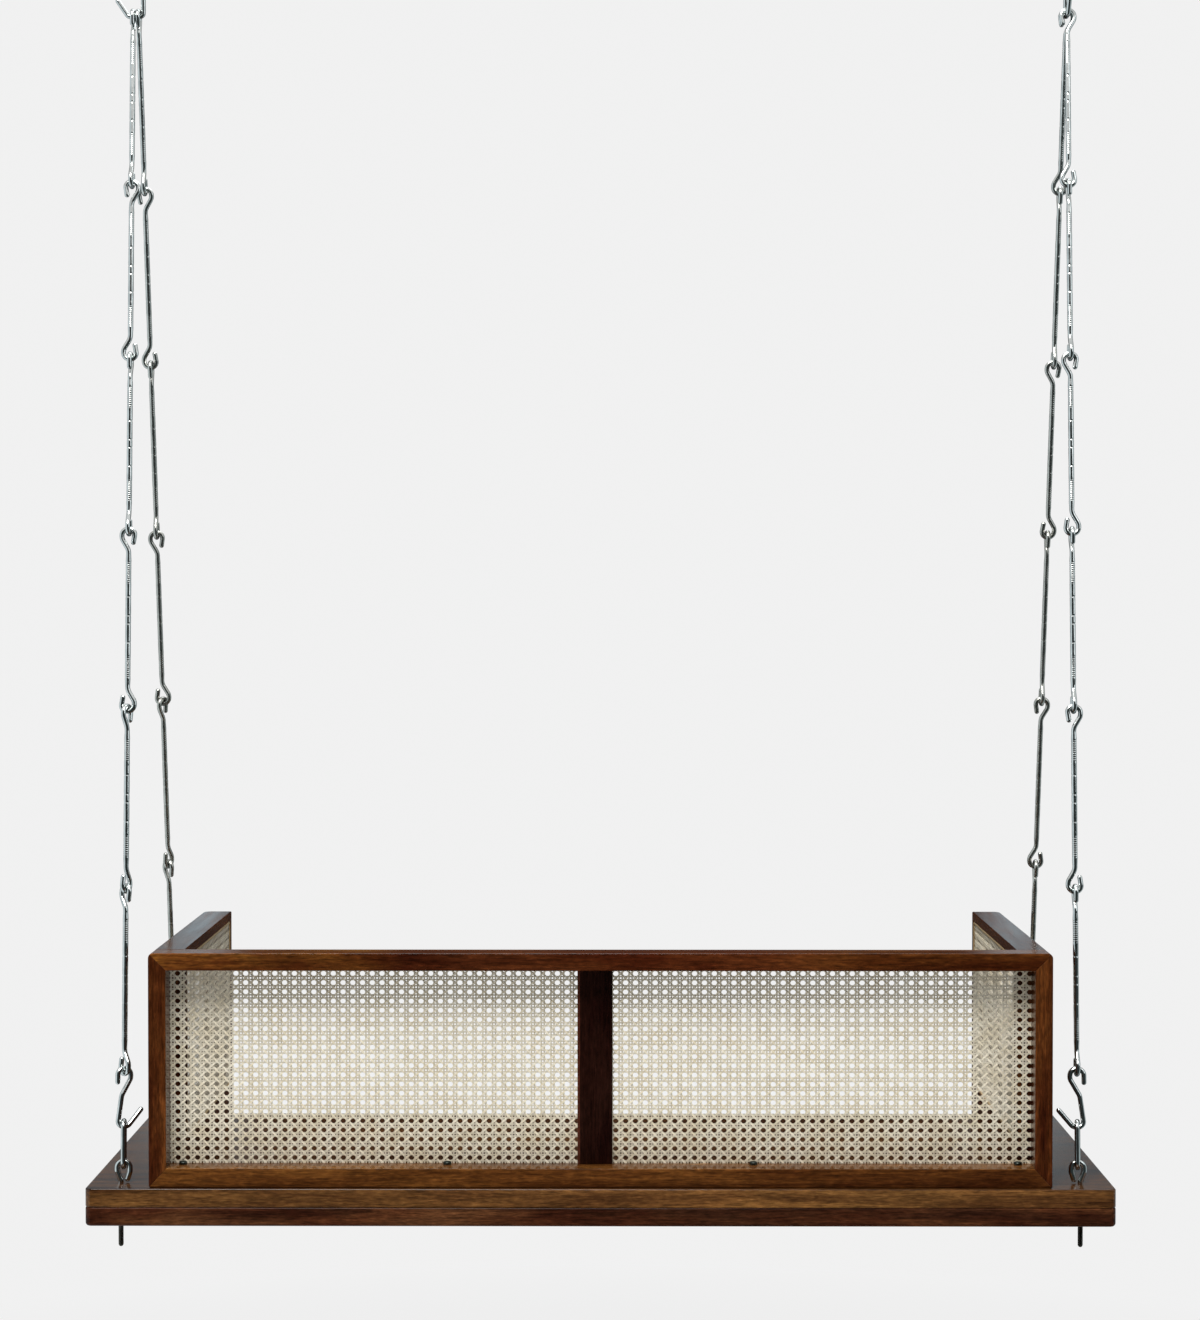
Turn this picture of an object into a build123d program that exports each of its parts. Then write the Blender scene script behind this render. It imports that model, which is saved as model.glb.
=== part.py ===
from build123d import *
import os
from math import atan2, degrees, hypot, sin

# A hanging bench swing: a wooden seat with a caned back and arms, on four chains of hooked rods.
# Millimetres. +X is the sitter's left-to-right width, +Y the way the sitter faces, +Z up.
# The origin is on the ceiling, halfway between the two ceiling plates and straight above the
# line that the swing turns about.

# ---------------------------------------------------------------- seat
SEAT_WIDTH = 1524.0
SEAT_DEPTH = 610.0
BOARD_THICKNESS = 28.0
FRAME_THICKNESS = 28.0
LONG_RAIL_WIDTH = 75.0
SIDE_RAIL_WIDTH = 150.0
BATTEN_WIDTH = 75.0
BATTEN_COUNT = 3
SEAT_CORNER_RADIUS = 10.0
SEAT_ARRIS = 2.2
SEAT_UNDERSIDE_ARRIS = 5.0

# ---------------------------------------------------------------- back
BACK_END_SETBACK = 93.5
BACK_HEIGHT = 348.0
BACK_DEPTH = 46.0
BACK_SETBACK = 8.0
BACK_CORNER_RADIUS = 8.0
MEMBER_FACE = 26.0
BACK_BOTTOM_FACE = 28.5
CENTRE_STILE_WIDTH = 52.0
CENTRE_STILE_THICKNESS = 11.0
CENTRE_STILE_OFFSET = 8.0

# ---------------------------------------------------------------- arms
ARM_THICKNESS = 45.0
ARM_INSET = 4.0
ARM_FRONT_SETBACK = 47.0
ARM_BOTTOM_FACE = 72.0
ARM_NOSE_RADIUS = 13.0
JOINT_ARRIS = 0.8
OUTER_ARRIS = 1.6

# ---------------------------------------------------------------- cane
CANE_LAP = 12.0
RABBET_DEPTH = 3.5
CANE_THICKNESS = 1.8
SPLINE_WIDTH = 5.0
SPLINE_THICKNESS = 1.6
PANEL_CLEARANCE = 0.3
BACK_CANE_HOLES = (12, 6)
ARM_CANE_HOLES = (9, 5)
CANE_OPENING_SIZE = 26.0

# ---------------------------------------------------------------- screws and dowels
FIT_CLEARANCE = 0.1
BACK_BOLT_FROM_END = 46.5
BACK_BOLT_PITCH = 394.0
BACK_BOLT_FROM_REAR = 33.0
BACK_BOLT_DIAMETER = 5.0
BACK_BOLT_HEAD_DIAMETER = 12.0
BACK_BOLT_HEAD_HEIGHT = 4.5
BACK_BOLT_BITE = 20.0
SCREW_DIAMETER = 5.0
SCREW_HEAD_DIAMETER = 10.0
SCREW_HEAD_HEIGHT = 2.5
FRAME_SCREW_BITE = 17.0
FRAME_SCREW_FROM_END = 162.0
RAIL_SCREWS = 4
ARM_SCREW_BITE = 32.0
ARM_SCREW_SPACING = 330.0
DOWEL_DIAMETER = 6.0
DOWEL_LENGTH = 40.0
DOWEL_HEIGHTS = (105.0, 255.0)

# ---------------------------------------------------------------- chains
HANGING_HEIGHT = 1943.0
AXIS_FROM_REAR = 281.5
BOLT_FROM_END = 50.0
BOLT_FROM_EDGE = 47.5
HANGER_SPLAY = 15.0
RODS_PER_CHAIN = 6
WIRE = 7.5
PLAY = 0.6
SWING_PLAY = 0.8
HOOK_HALF_WIDTH = 10.5
HOOK_TIP_LENGTH = 25.0
HOOK_TIP_INSET = 4.0
HOOK_NECK_START = 15.0
HOOK_NECK_END = 33.0
S_HOOK_REACH = 78.0
S_HOOK_MOUTH = 30.0
S_HOOK_RISE = 27.0
S_HOOK_TIP_LENGTH = 24.0
S_HOOK_KINK = (4.0, 46.0)
TOP_HOOK_KINK = (11.9, 40.0)
S_HOOK_BEND_RADII = (8.0, 9.0)
S_HOOK_SEAT = (-6.5, 10.5)
TOP_HOOK_BEND_RADII = (5.2, 5.0)
TOP_HOOK_SEAT = (-11.5, 11.9)
OVAL_RING_REACH = 60.0
OVAL_RING_HALF_WIDTH = 11.0
ROUND_RING_REACH = 44.0

# ---------------------------------------------------------------- eye bolts
BOLT_DIAMETER = 8.0
BOLT_HOLE_DIAMETER = 8.4
EYE_CONTACT_HEIGHT = 27.0
EYE_HALF_WIDTH = 9.5
EYE_OFFSET = 4.2
EYE_TIP_CLEARANCE = 0.15
BOLT_PROTRUSION = 40.0
WASHER_DIAMETER = 20.0
WASHER_THICKNESS = 1.6
NUT_WIDTH = 13.0
NUT_HEIGHT = 6.5

# ---------------------------------------------------------------- ceiling plates
PLATE_DIAMETER = 84.0
PLATE_THICKNESS = 6.0
PLATE_HOLE_CIRCLE = 60.0
PLATE_HOLE_DIAMETER = 7.0
PLATE_HOLES = 4
CEILING_EYE_INNER_RADIUS = 14.0
CEILING_BOSS_DIAMETER = 22.0
CEILING_BOSS_HEIGHT = 5.0

LEFT, RIGHT = -1, 1
SIDE_NAMES = {LEFT: "left", RIGHT: "right"}
ENDS = ("rear", "front")

# How far each link is turned about its own chain from the plane that faces rearward, in degrees.
ROD_TURNS = {LEFT: (90, 0, 90, 180, 246, 134), RIGHT: (0, 90, 180, 90, 0, 90)}
TOP_HOOK_TURNS = {LEFT: 0, RIGHT: 90}
ROUND_RING_TURNS = {LEFT: 90, RIGHT: 0}
CEILING_EYE_TURNS = {LEFT: 0, RIGHT: 90}
BOTTOM_HOOK_TURNS = {LEFT: 215, RIGHT: 0}
OVAL_RING_TURNS = {LEFT: 96, RIGHT: 78}

# ---------------------------------------------------------------- levels and edges
seat_top = -HANGING_HEIGHT
board_bottom = seat_top - BOARD_THICKNESS
seat_bottom = board_bottom - FRAME_THICKNESS
seat_rear = -AXIS_FROM_REAR
seat_front = seat_rear + SEAT_DEPTH
seat_middle = (seat_rear + seat_front) / 2
back_rear = seat_rear + BACK_SETBACK
back_front = back_rear + BACK_DEPTH
back_top = seat_top + BACK_HEIGHT
back_half = SEAT_WIDTH / 2 - BACK_END_SETBACK
arm_outer = back_half - ARM_INSET
arm_inner = arm_outer - ARM_THICKNESS
arm_front = seat_front - ARM_FRONT_SETBACK
panel_bottom = seat_top + BACK_BOTTOM_FACE
panel_top = back_top - MEMBER_FACE
ceiling_eye_centre = -PLATE_THICKNESS - CEILING_BOSS_HEIGHT / 2 - CEILING_EYE_INNER_RADIUS
swing_axis = ceiling_eye_centre - CEILING_EYE_INNER_RADIUS + SWING_PLAY / 2
sway_axis = swing_axis - ROUND_RING_REACH
chain_top = sway_axis - S_HOOK_REACH
chain_bottom = seat_top + EYE_CONTACT_HEIGHT
bolt_x = SEAT_WIDTH / 2 - BOLT_FROM_END
shank_x = bolt_x + EYE_OFFSET
hanger_x = bolt_x + HANGER_SPLAY
bolt_ys = {"rear": seat_rear + BOLT_FROM_EDGE, "front": seat_front - BOLT_FROM_EDGE}


# ---------------------------------------------------------------- shapes
def block(x0, x1, y0, y1, z0, z1):
    """A box between two opposite corners, given in any order."""
    size = Box(abs(x1 - x0), abs(y1 - y0), abs(z1 - z0))
    return Pos((x0 + x1) / 2, (y0 + y1) / 2, (z0 + z1) / 2) * size


def eased(piece, radius):
    """The piece with every edge rounded a little, as sanded wood is."""
    return fillet(piece.edges(), radius)


def prism_facing_y(points, y0, y1):
    """A prism with its outline in X and Z, from y0 to y1."""
    outline = Plane.XZ * make_face(Polyline(*points, close=True))
    return Pos(0, y1, 0) * extrude(outline, y1 - y0)


def prism_facing_x(points, x0, x1):
    """A prism with its outline in Y and Z, from x0 to x1."""
    outline = Plane.YZ * make_face(Polyline(*points, close=True))
    return Pos(x0, 0, 0) * extrude(outline, x1 - x0)


def seat_layer(z0, z1, lower_arris):
    """One full layer of the seat, with rounded corners and eased edges."""
    outline = RectangleRounded(SEAT_WIDTH, SEAT_DEPTH, SEAT_CORNER_RADIUS)
    layer = extrude(Pos(0, seat_middle, z0) * outline, z1 - z0)
    layer = fillet(layer.edges().group_by(Axis.Z)[0], lower_arris)
    return fillet(layer.edges().group_by(Axis.Z)[-1], SEAT_ARRIS)


def upright_hole(x, y, z0, z1, diameter):
    """The tool for a vertical hole."""
    return Pos(x, y, (z0 + z1) / 2) * Cylinder(diameter / 2, z1 - z0)


def bent_wire(points, radii, diameter):
    """Round wire bent in the XZ plane along straight runs and arcs."""
    path = FilletPolyline(*[(u, 0, z) for u, z in points], radius=radii)
    start = Plane(origin=path @ 0, z_dir=path % 0)
    return sweep(start * Circle(diameter / 2), path=path)


def closed_ring(half_width, top, bottom, diameter):
    """An oval ring of round wire in the XZ plane: two half circles joined by two straight sides."""
    straight = top - bottom - 2 * half_width
    middle = (top + bottom) / 2
    bend = revolve(Plane.XY * Pos(half_width, 0) * Circle(diameter / 2), Axis.Y, 180)
    side = Cylinder(diameter / 2, straight)
    upper = Pos(0, 0, straight / 2) * Rot(0, -180, 0) * bend
    lower = Pos(0, 0, -straight / 2) * bend
    sides = [Pos(side_x, 0, 0) * side for side_x in (-half_width, half_width)]
    return Pos(0, 0, middle) * (upper + lower + sides)


def hung(link, top, bottom, turn):
    """A link made with its top contact at the origin, hung between two points and turned."""
    up = (Vector(*top) - Vector(*bottom)).normalized()
    across = (Vector(1, 0, 0) - up * up.X).normalized()
    return Plane(origin=top, x_dir=across, z_dir=up) * Rot(0, 0, turn) * link


# ---------------------------------------------------------------- links, each with its top contact at the origin
def rod(reach):
    """A rod with a nearly closed hook at each end, both in one plane, the free ends on opposite sides."""
    grip = (WIRE + PLAY) / 2
    top, bottom = grip, -reach - grip
    wide = HOOK_HALF_WIDTH
    tip = wide - HOOK_TIP_INSET
    points = [
        (-tip, top - HOOK_TIP_LENGTH),
        (-wide, top),
        (wide, top),
        (wide, top - HOOK_NECK_START),
        (0, top - HOOK_NECK_END),
        (0, bottom + HOOK_NECK_END),
        (-wide, bottom + HOOK_NECK_START),
        (-wide, bottom),
        (wide, bottom),
        (tip, bottom + HOOK_TIP_LENGTH),
    ]
    curl = wide * 0.85
    loop = wide * 0.98
    neck = wide * 1.3
    shoulder = wide * 1.9
    radii = [curl, loop, neck, shoulder, shoulder, neck, loop, curl]
    return bent_wire(points, radii, WIRE)


def s_hook(kink, seat, bend_radii):
    """A small upper loop, a long shank with a kink and a wide lower hook with its mouth open.

    The lower hook is flat where things hang in it, between a bend near each end of seat.
    """
    grip = (WIRE + PLAY) / 2
    top, bottom = grip, -S_HOOK_REACH - grip
    wide = HOOK_HALF_WIDTH
    points = [
        (wide, top - S_HOOK_TIP_LENGTH),
        (wide, top),
        (-wide, top),
        (-wide, top - 1.45 * wide),
        (kink[0], bottom + kink[1]),
        (seat[1], bottom),
        (seat[0], bottom),
        (-S_HOOK_MOUTH, bottom + S_HOOK_RISE),
    ]
    loop = wide * 0.98
    radii = [loop, loop, wide * 1.1, wide * 1.9, *bend_radii]
    return bent_wire(points, radii, WIRE)


def oval_ring():
    """A closed oval ring between the S-hook and the eye bolt."""
    grip = (WIRE + PLAY) / 2
    return closed_ring(OVAL_RING_HALF_WIDTH, grip, -OVAL_RING_REACH - grip, WIRE)


def round_ring():
    """A closed round ring under the ceiling eye."""
    top = (WIRE + SWING_PLAY) / 2
    bottom = -ROUND_RING_REACH - (WIRE + PLAY) / 2
    ring = Rot(90, 0, 0) * Torus((top - bottom) / 2, WIRE / 2)
    return Pos(0, 0, (top + bottom) / 2) * ring


def eye_bolt():
    """A rod bent to a pear-shaped eye that stands on the seat, its shank down through both layers.

    The eye's middle is at the origin, with the shank EYE_OFFSET to one side and the free end
    coming down beside it.
    """
    top = EYE_CONTACT_HEIGHT + (BOLT_DIAMETER + PLAY) / 2
    wide = EYE_HALF_WIDTH
    tip_x = BOLT_DIAMETER - EYE_OFFSET + 0.8
    side_bend = top - 1.6 * wide
    lean = atan2(wide - tip_x, side_bend)
    tip_z = EYE_TIP_CLEARANCE + BOLT_DIAMETER / 2 * sin(lean)
    points = [
        (tip_x, tip_z),
        (wide, side_bend),
        (wide, top),
        (-wide, top),
        (-wide, top - 1.45 * wide),
        (-EYE_OFFSET, BOLT_DIAMETER / 4),
        (-EYE_OFFSET, -BOARD_THICKNESS - FRAME_THICKNESS - BOLT_PROTRUSION),
    ]
    loop = wide * 0.98
    radii = [wide, loop, loop, wide * 0.8, wide * 0.5]
    return bent_wire(points, radii, BOLT_DIAMETER)


def ceiling_hanger(turn):
    """A round plate with four holes, a short boss and a closed eye under it."""
    plate = Pos(0, 0, -PLATE_THICKNESS / 2) * Cylinder(PLATE_DIAMETER / 2, PLATE_THICKNESS)
    rim = plate.edges().filter_by(GeomType.CIRCLE).sort_by(Axis.Z)[0]
    plate = fillet(rim, PLATE_THICKNESS / 4)
    ring = PolarLocations(PLATE_HOLE_CIRCLE / 2, PLATE_HOLES, start_angle=180 / PLATE_HOLES)
    hole = Cylinder(PLATE_HOLE_DIAMETER / 2, 3 * PLATE_THICKNESS)
    plate -= [spot * hole for spot in ring.locations]
    boss_middle = -PLATE_THICKNESS - CEILING_BOSS_HEIGHT / 2
    boss = Pos(0, 0, boss_middle) * Cylinder(CEILING_BOSS_DIAMETER / 2, CEILING_BOSS_HEIGHT)
    eye = Torus(CEILING_EYE_INNER_RADIUS + BOLT_DIAMETER / 2, BOLT_DIAMETER / 2)
    eye = Pos(0, 0, ceiling_eye_centre) * Rot(0, 0, turn) * Rot(90, 0, 0) * eye
    return plate + boss + eye


# ---------------------------------------------------------------- chain lines
def chain_ends(side, end):
    """The two contacts that one chain hangs between: on the top S-hook and in the eye bolt."""
    beside = (WIRE + PLAY) / 2 * (-1 if end == "rear" else 1)
    along_x = TOP_HOOK_TURNS[side] == 0
    top = (
        side * hanger_x + (beside if along_x else 0),
        0 if along_x else beside,
        chain_top,
    )
    bottom = (side * bolt_x, bolt_ys[end], chain_bottom)
    return top, bottom


def chain_points(side, end):
    """The contacts down one chain: between the rods, then the S-hook, the ring and the eye bolt."""
    top, bottom = (Vector(*point) for point in chain_ends(side, end))
    length = (top - bottom).length
    rod_reach = (length - S_HOOK_REACH - OVAL_RING_REACH) / RODS_PER_CHAIN
    stops = [rod_reach * count for count in range(RODS_PER_CHAIN + 1)]
    stops += [stops[-1] + S_HOOK_REACH, length]
    down = (bottom - top).normalized()
    return rod_reach, [tuple(top + down * stop) for stop in stops]


# ---------------------------------------------------------------- seat
def screw_from_below(x, y, bite_top):
    """A countersunk screw whose head is flush with the lower frame's underside."""
    shank_bottom = seat_bottom + SCREW_HEAD_HEIGHT
    head = Cone(SCREW_HEAD_DIAMETER / 2, SCREW_DIAMETER / 2, SCREW_HEAD_HEIGHT)
    head = Pos(x, y, seat_bottom + SCREW_HEAD_HEIGHT / 2) * head
    return head + upright_hole(x, y, shank_bottom, bite_top, SCREW_DIAMETER)


def screw_from_below_hole(x, y, bite_top):
    """The hole for that screw, a little wider all round."""
    wider = 2 * FIT_CLEARANCE
    shank_bottom = seat_bottom + SCREW_HEAD_HEIGHT
    head = Cone(SCREW_HEAD_DIAMETER / 2 + FIT_CLEARANCE, (SCREW_DIAMETER + wider) / 2, SCREW_HEAD_HEIGHT)
    head = Pos(x, y, seat_bottom + SCREW_HEAD_HEIGHT / 2) * head
    return head + upright_hole(x, y, shank_bottom, bite_top + FIT_CLEARANCE, SCREW_DIAMETER + wider)


def spread(count, pitch):
    """Places about zero, evenly spaced."""
    return [(place - (count - 1) / 2) * pitch for place in range(count)]


def frame_screw_spots():
    """Where the screws go up through the lower frame into the board."""
    rail_ys = (seat_rear + LONG_RAIL_WIDTH / 2, seat_front - LONG_RAIL_WIDTH / 2)
    pitch = (SEAT_WIDTH - 2 * FRAME_SCREW_FROM_END) / (RAIL_SCREWS - 1)
    spots = [(x, y) for x in spread(RAIL_SCREWS, pitch) for y in rail_ys]
    inner_ys = (seat_middle - SEAT_DEPTH / 5, seat_middle + SEAT_DEPTH / 5)
    across = [side * (SEAT_WIDTH / 2 - SIDE_RAIL_WIDTH / 4) for side in (LEFT, RIGHT)]
    across += batten_xs()
    return spots + [(x, y) for x in across for y in inner_ys]


def batten_xs():
    """The middles of the cross battens, evenly between the side rails."""
    clear = SEAT_WIDTH - 2 * SIDE_RAIL_WIDTH
    return spread(BATTEN_COUNT, clear / (BATTEN_COUNT + 1))


def arm_screw_spots():
    """Where the screws go up into the arms' bottom rails."""
    middle = (back_front + arm_front) / 2
    ys = [middle + offset for offset in spread(2, ARM_SCREW_SPACING)]
    xs = [side * (arm_inner + arm_outer) / 2 for side in (LEFT, RIGHT)]
    return [(x, y) for x in xs for y in ys]


def back_bolt_xs():
    """The X of the bolts that hold the back down: two near each end."""
    outer = back_half - BACK_BOLT_FROM_END
    inner = outer - BACK_BOLT_PITCH
    return (-outer, -inner, inner, outer)


def shank_spots():
    """Where the eye bolts' shanks go down through the seat."""
    return {(side, end): (side * shank_x, bolt_ys[end]) for side in (LEFT, RIGHT) for end in ENDS}


def seat_tools():
    """Everything that is bored out of the seat."""
    tools = [
        upright_hole(x, y, seat_bottom - 1, seat_top + 1, BOLT_HOLE_DIAMETER)
        for x, y in shank_spots().values()
    ]
    tools += [screw_from_below_hole(x, y, board_bottom + FRAME_SCREW_BITE) for x, y in frame_screw_spots()]
    tools += [screw_from_below_hole(x, y, seat_top + ARM_SCREW_BITE) for x, y in arm_screw_spots()]
    tools += [back_bolt_hole(x) for x in back_bolt_xs()]
    return tools


def make_seat():
    """The board, the four rails of the lower frame and its battens."""
    tools = seat_tools()
    lower = seat_layer(seat_bottom, board_bottom, SEAT_UNDERSIDE_ARRIS)
    half = SEAT_WIDTH / 2
    inner_rear = seat_rear + LONG_RAIL_WIDTH
    inner_front = seat_front - LONG_RAIL_WIDTH
    span = (seat_bottom, board_bottom)
    rear = lower & block(-half, half, seat_rear, inner_rear, *span)
    front = lower & block(-half, half, inner_front, seat_front, *span)
    inner = half - SIDE_RAIL_WIDTH
    left = lower & block(-half, -inner, inner_rear, inner_front, *span)
    right = lower & block(inner, half, inner_rear, inner_front, *span)
    battens = []
    for x in batten_xs():
        batten = block(x - BATTEN_WIDTH / 2, x + BATTEN_WIDTH / 2, inner_rear, inner_front, *span)
        battens.append(eased(batten, JOINT_ARRIS) - tools)
    return {
        "seat_board": seat_layer(board_bottom, seat_top, SEAT_ARRIS) - tools,
        "seat_rear_rail": rear - tools,
        "seat_front_rail": front - tools,
        "seat_left_rail": left - tools,
        "seat_right_rail": right - tools,
        "seat_battens": battens,
    }


# ---------------------------------------------------------------- back
def back_bolt_hole(x):
    """The hole through the bottom rail into the board, a little wider than the bolt."""
    bottom = seat_top - BACK_BOLT_BITE - FIT_CLEARANCE
    wide = BACK_BOLT_DIAMETER + 2 * FIT_CLEARANCE
    return upright_hole(x, back_rear + BACK_BOLT_FROM_REAR, bottom, panel_bottom + 1, wide)


def back_bolt(x):
    """A round-headed bolt standing on the bottom rail."""
    y = back_rear + BACK_BOLT_FROM_REAR
    head = upright_hole(x, y, panel_bottom, panel_bottom + BACK_BOLT_HEAD_HEIGHT, BACK_BOLT_HEAD_DIAMETER)
    crown = head.edges().filter_by(GeomType.CIRCLE).sort_by(Axis.Z)[-1]
    head = fillet(crown, BACK_BOLT_HEAD_HEIGHT / 2.5)
    shank = upright_hole(x, y, seat_top - BACK_BOLT_BITE, panel_bottom, BACK_BOLT_DIAMETER)
    return head + shank


def back_panel_edges(side):
    """The X limits of one opening of the back, from the outer stile to the centre stile."""
    return side * (back_half - MEMBER_FACE), side * CENTRE_STILE_WIDTH / 2 - CENTRE_STILE_OFFSET


def back_panel_space(side, clearance):
    """The rabbet that one cane panel of the back lies in."""
    outer, inner = back_panel_edges(side)
    return block(
        outer + side * (CANE_LAP + clearance),
        inner - side * (CANE_LAP + clearance),
        back_front - RABBET_DEPTH,
        back_front,
        panel_bottom - CANE_LAP - clearance,
        panel_top + CANE_LAP + clearance,
    )


def dowel_place(side):
    """The X of the dowels: midway between the back's cane and the arm's outer face."""
    cane_edge = back_half - MEMBER_FACE + CANE_LAP
    return side * (cane_edge + arm_outer) / 2


def dowels(clearance):
    """The dowels between the arms and the back, or with a clearance the holes for them."""
    length = DOWEL_LENGTH + 2 * clearance
    pin = Rot(90, 0, 0) * Cylinder(DOWEL_DIAMETER / 2 + clearance, length)
    return [
        Pos(dowel_place(side), back_front, seat_top + height) * pin
        for side in (LEFT, RIGHT)
        for height in DOWEL_HEIGHTS
    ]


def back_envelope():
    """The back's outer shape: upper corners rounded, and the edges of both faces eased."""
    corners = [(-back_half, seat_top), (back_half, seat_top), (back_half, back_top), (-back_half, back_top)]
    outline = make_face(Polyline(*corners, close=True))
    outline = fillet(outline.vertices().group_by(Axis.Y)[-1], BACK_CORNER_RADIUS)
    solid = Pos(0, back_front, 0) * extrude(Plane.XZ * outline, BACK_DEPTH)
    rims = solid.edges().group_by(Axis.Y)
    return fillet(rims[0] + rims[-1], OUTER_ARRIS)


def make_back():
    """Two rails and two stiles mitred at the corners, and a thin centre stile at the front.

    The centre stile stands CENTRE_STILE_OFFSET to the left of the middle.
    """
    half = back_half
    inner = half - MEMBER_FACE
    envelope = back_envelope()
    cuts = [back_panel_space(side, PANEL_CLEARANCE) for side in (LEFT, RIGHT)]
    cuts += dowels(FIT_CLEARANCE)
    cuts += [back_bolt_hole(x) for x in back_bolt_xs()]

    def member(points):
        return (eased(prism_facing_y(points, back_rear, back_front), JOINT_ARRIS) & envelope) - cuts

    stile_rear = back_front - CENTRE_STILE_THICKNESS
    centre_half = CENTRE_STILE_WIDTH / 2
    centre_left, centre_right = -centre_half - CENTRE_STILE_OFFSET, centre_half - CENTRE_STILE_OFFSET
    centre = block(centre_left, centre_right, stile_rear, back_front, panel_bottom, panel_top)
    corners = {
        "top": [(-half, back_top), (half, back_top), (inner, panel_top), (-inner, panel_top)],
        "bottom": [(-half, seat_top), (half, seat_top), (inner, panel_bottom), (-inner, panel_bottom)],
    }
    sides = {
        name: [
            (side * half, seat_top),
            (side * half, back_top),
            (side * inner, panel_top),
            (side * inner, panel_bottom),
        ]
        for side, name in SIDE_NAMES.items()
    }
    return {
        "back_top_rail": member(corners["top"]),
        "back_bottom_rail": member(corners["bottom"]),
        "back_left_stile": member(sides["left"]),
        "back_right_stile": member(sides["right"]),
        "back_centre_stile": eased(centre, JOINT_ARRIS) - cuts,
    }


# ---------------------------------------------------------------- arms
def arm_panel_space(side, clearance):
    """The rabbet that an arm's cane panel lies in."""
    return block(
        side * arm_inner,
        side * (arm_inner + RABBET_DEPTH),
        back_front + MEMBER_FACE - CANE_LAP - clearance,
        arm_front - MEMBER_FACE + CANE_LAP + clearance,
        seat_top + ARM_BOTTOM_FACE - CANE_LAP - clearance,
        panel_top + CANE_LAP + clearance,
    )


def make_arm(side):
    """A box frame that stands on the seat against the back: two rails and two stiles."""
    x0, x1 = sorted((side * arm_inner, side * arm_outer))
    envelope = block(x0, x1, back_front, arm_front, seat_top, back_top)
    outer_nose = envelope.edges().filter_by(Axis.Z).group_by(Axis.Y)[-1].sort_by(Axis.X)
    outer_nose = outer_nose[-1] if side == RIGHT else outer_nose[0]
    envelope = fillet(outer_nose, ARM_NOSE_RADIUS)
    envelope = fillet(envelope.edges().group_by(Axis.Z)[-1], OUTER_ARRIS)
    cuts = [arm_panel_space(side, PANEL_CLEARANCE)] + dowels(FIT_CLEARANCE)
    cuts += [screw_from_below_hole(x, y, seat_top + ARM_SCREW_BITE) for x, y in arm_screw_spots()]
    rear_inner = back_front + MEMBER_FACE
    front_inner = arm_front - MEMBER_FACE
    rail_top = seat_top + ARM_BOTTOM_FACE

    def member(points):
        return (eased(prism_facing_x(points, x0, x1), JOINT_ARRIS) & envelope) - cuts

    top = [(back_front, back_top), (arm_front, back_top), (front_inner, panel_top), (back_front, panel_top)]
    front = [(front_inner, seat_top), (arm_front, seat_top), (arm_front, back_top), (front_inner, panel_top)]
    rear = [(back_front, seat_top), (rear_inner, seat_top), (rear_inner, panel_top), (back_front, panel_top)]
    bottom = [(rear_inner, seat_top), (front_inner, seat_top), (front_inner, rail_top), (rear_inner, rail_top)]
    name = SIDE_NAMES[side]
    return {
        f"{name}_arm_top_rail": member(top),
        f"{name}_arm_front_stile": member(front),
        f"{name}_arm_rear_stile": member(rear),
        f"{name}_arm_bottom_rail": member(bottom),
    }


# ---------------------------------------------------------------- cane
def spline_round(sheet_box, thin_axis):
    """The reed spline: a flat frame as large as the sheet, SPLINE_WIDTH wide."""
    size = sheet_box.size
    inner = [size.X, size.Y, size.Z]
    for axis in range(3):
        if axis != thin_axis:
            inner[axis] -= 2 * SPLINE_WIDTH
        else:
            inner[axis] *= 3
    outer = [size.X, size.Y, size.Z]
    outer[thin_axis] = SPLINE_THICKNESS
    return Box(*outer) - Box(*inner)


def cane_sheet(size, thin_axis, openings):
    """A sheet of cane as a coarse mesh: a grid of square openings inside the lap."""
    wide_axis = 1 - thin_axis
    hole_size = [CANE_OPENING_SIZE] * 3
    hole_size[thin_axis] = 3 * CANE_THICKNESS
    hole = Box(*hole_size)
    pitch_across = (size[wide_axis] - 2 * CANE_LAP) / openings[0]
    pitch_up = (size[2] - 2 * CANE_LAP) / openings[1]
    holes = []
    for across in spread(openings[0], pitch_across):
        for up in spread(openings[1], pitch_up):
            place = [0, 0, up]
            place[wide_axis] = across
            holes.append(Pos(*place) * hole)
    return Box(*size) - holes


def cane_in(space, thin_axis, floor, outward, openings):
    """A woven sheet on the floor of its rabbet, and the spline on it."""
    box = space.bounding_box()
    centre = [box.center().X, box.center().Y, box.center().Z]
    size = [box.size.X, box.size.Y, box.size.Z]
    size[thin_axis] = CANE_THICKNESS
    centre[thin_axis] = floor + outward * CANE_THICKNESS / 2
    sheet = Pos(*centre) * cane_sheet(size, thin_axis, openings)
    centre[thin_axis] = floor + outward * (CANE_THICKNESS + SPLINE_THICKNESS / 2)
    spline = Pos(*centre) * spline_round(box, thin_axis)
    return [sheet, spline]


def make_cane():
    """The four cane panels, each a sheet and its spline."""
    x_axis, y_axis = 0, 1
    pieces = {}
    for side, name in SIDE_NAMES.items():
        space, floor = back_panel_space(side, 0), back_front - RABBET_DEPTH
        pieces[f"back_{name}_cane"] = cane_in(space, y_axis, floor, 1, BACK_CANE_HOLES)
        space, floor = arm_panel_space(side, 0), side * (arm_inner + RABBET_DEPTH)
        pieces[f"{name}_arm_cane"] = cane_in(space, x_axis, floor, -side, ARM_CANE_HOLES)
    return pieces


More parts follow.
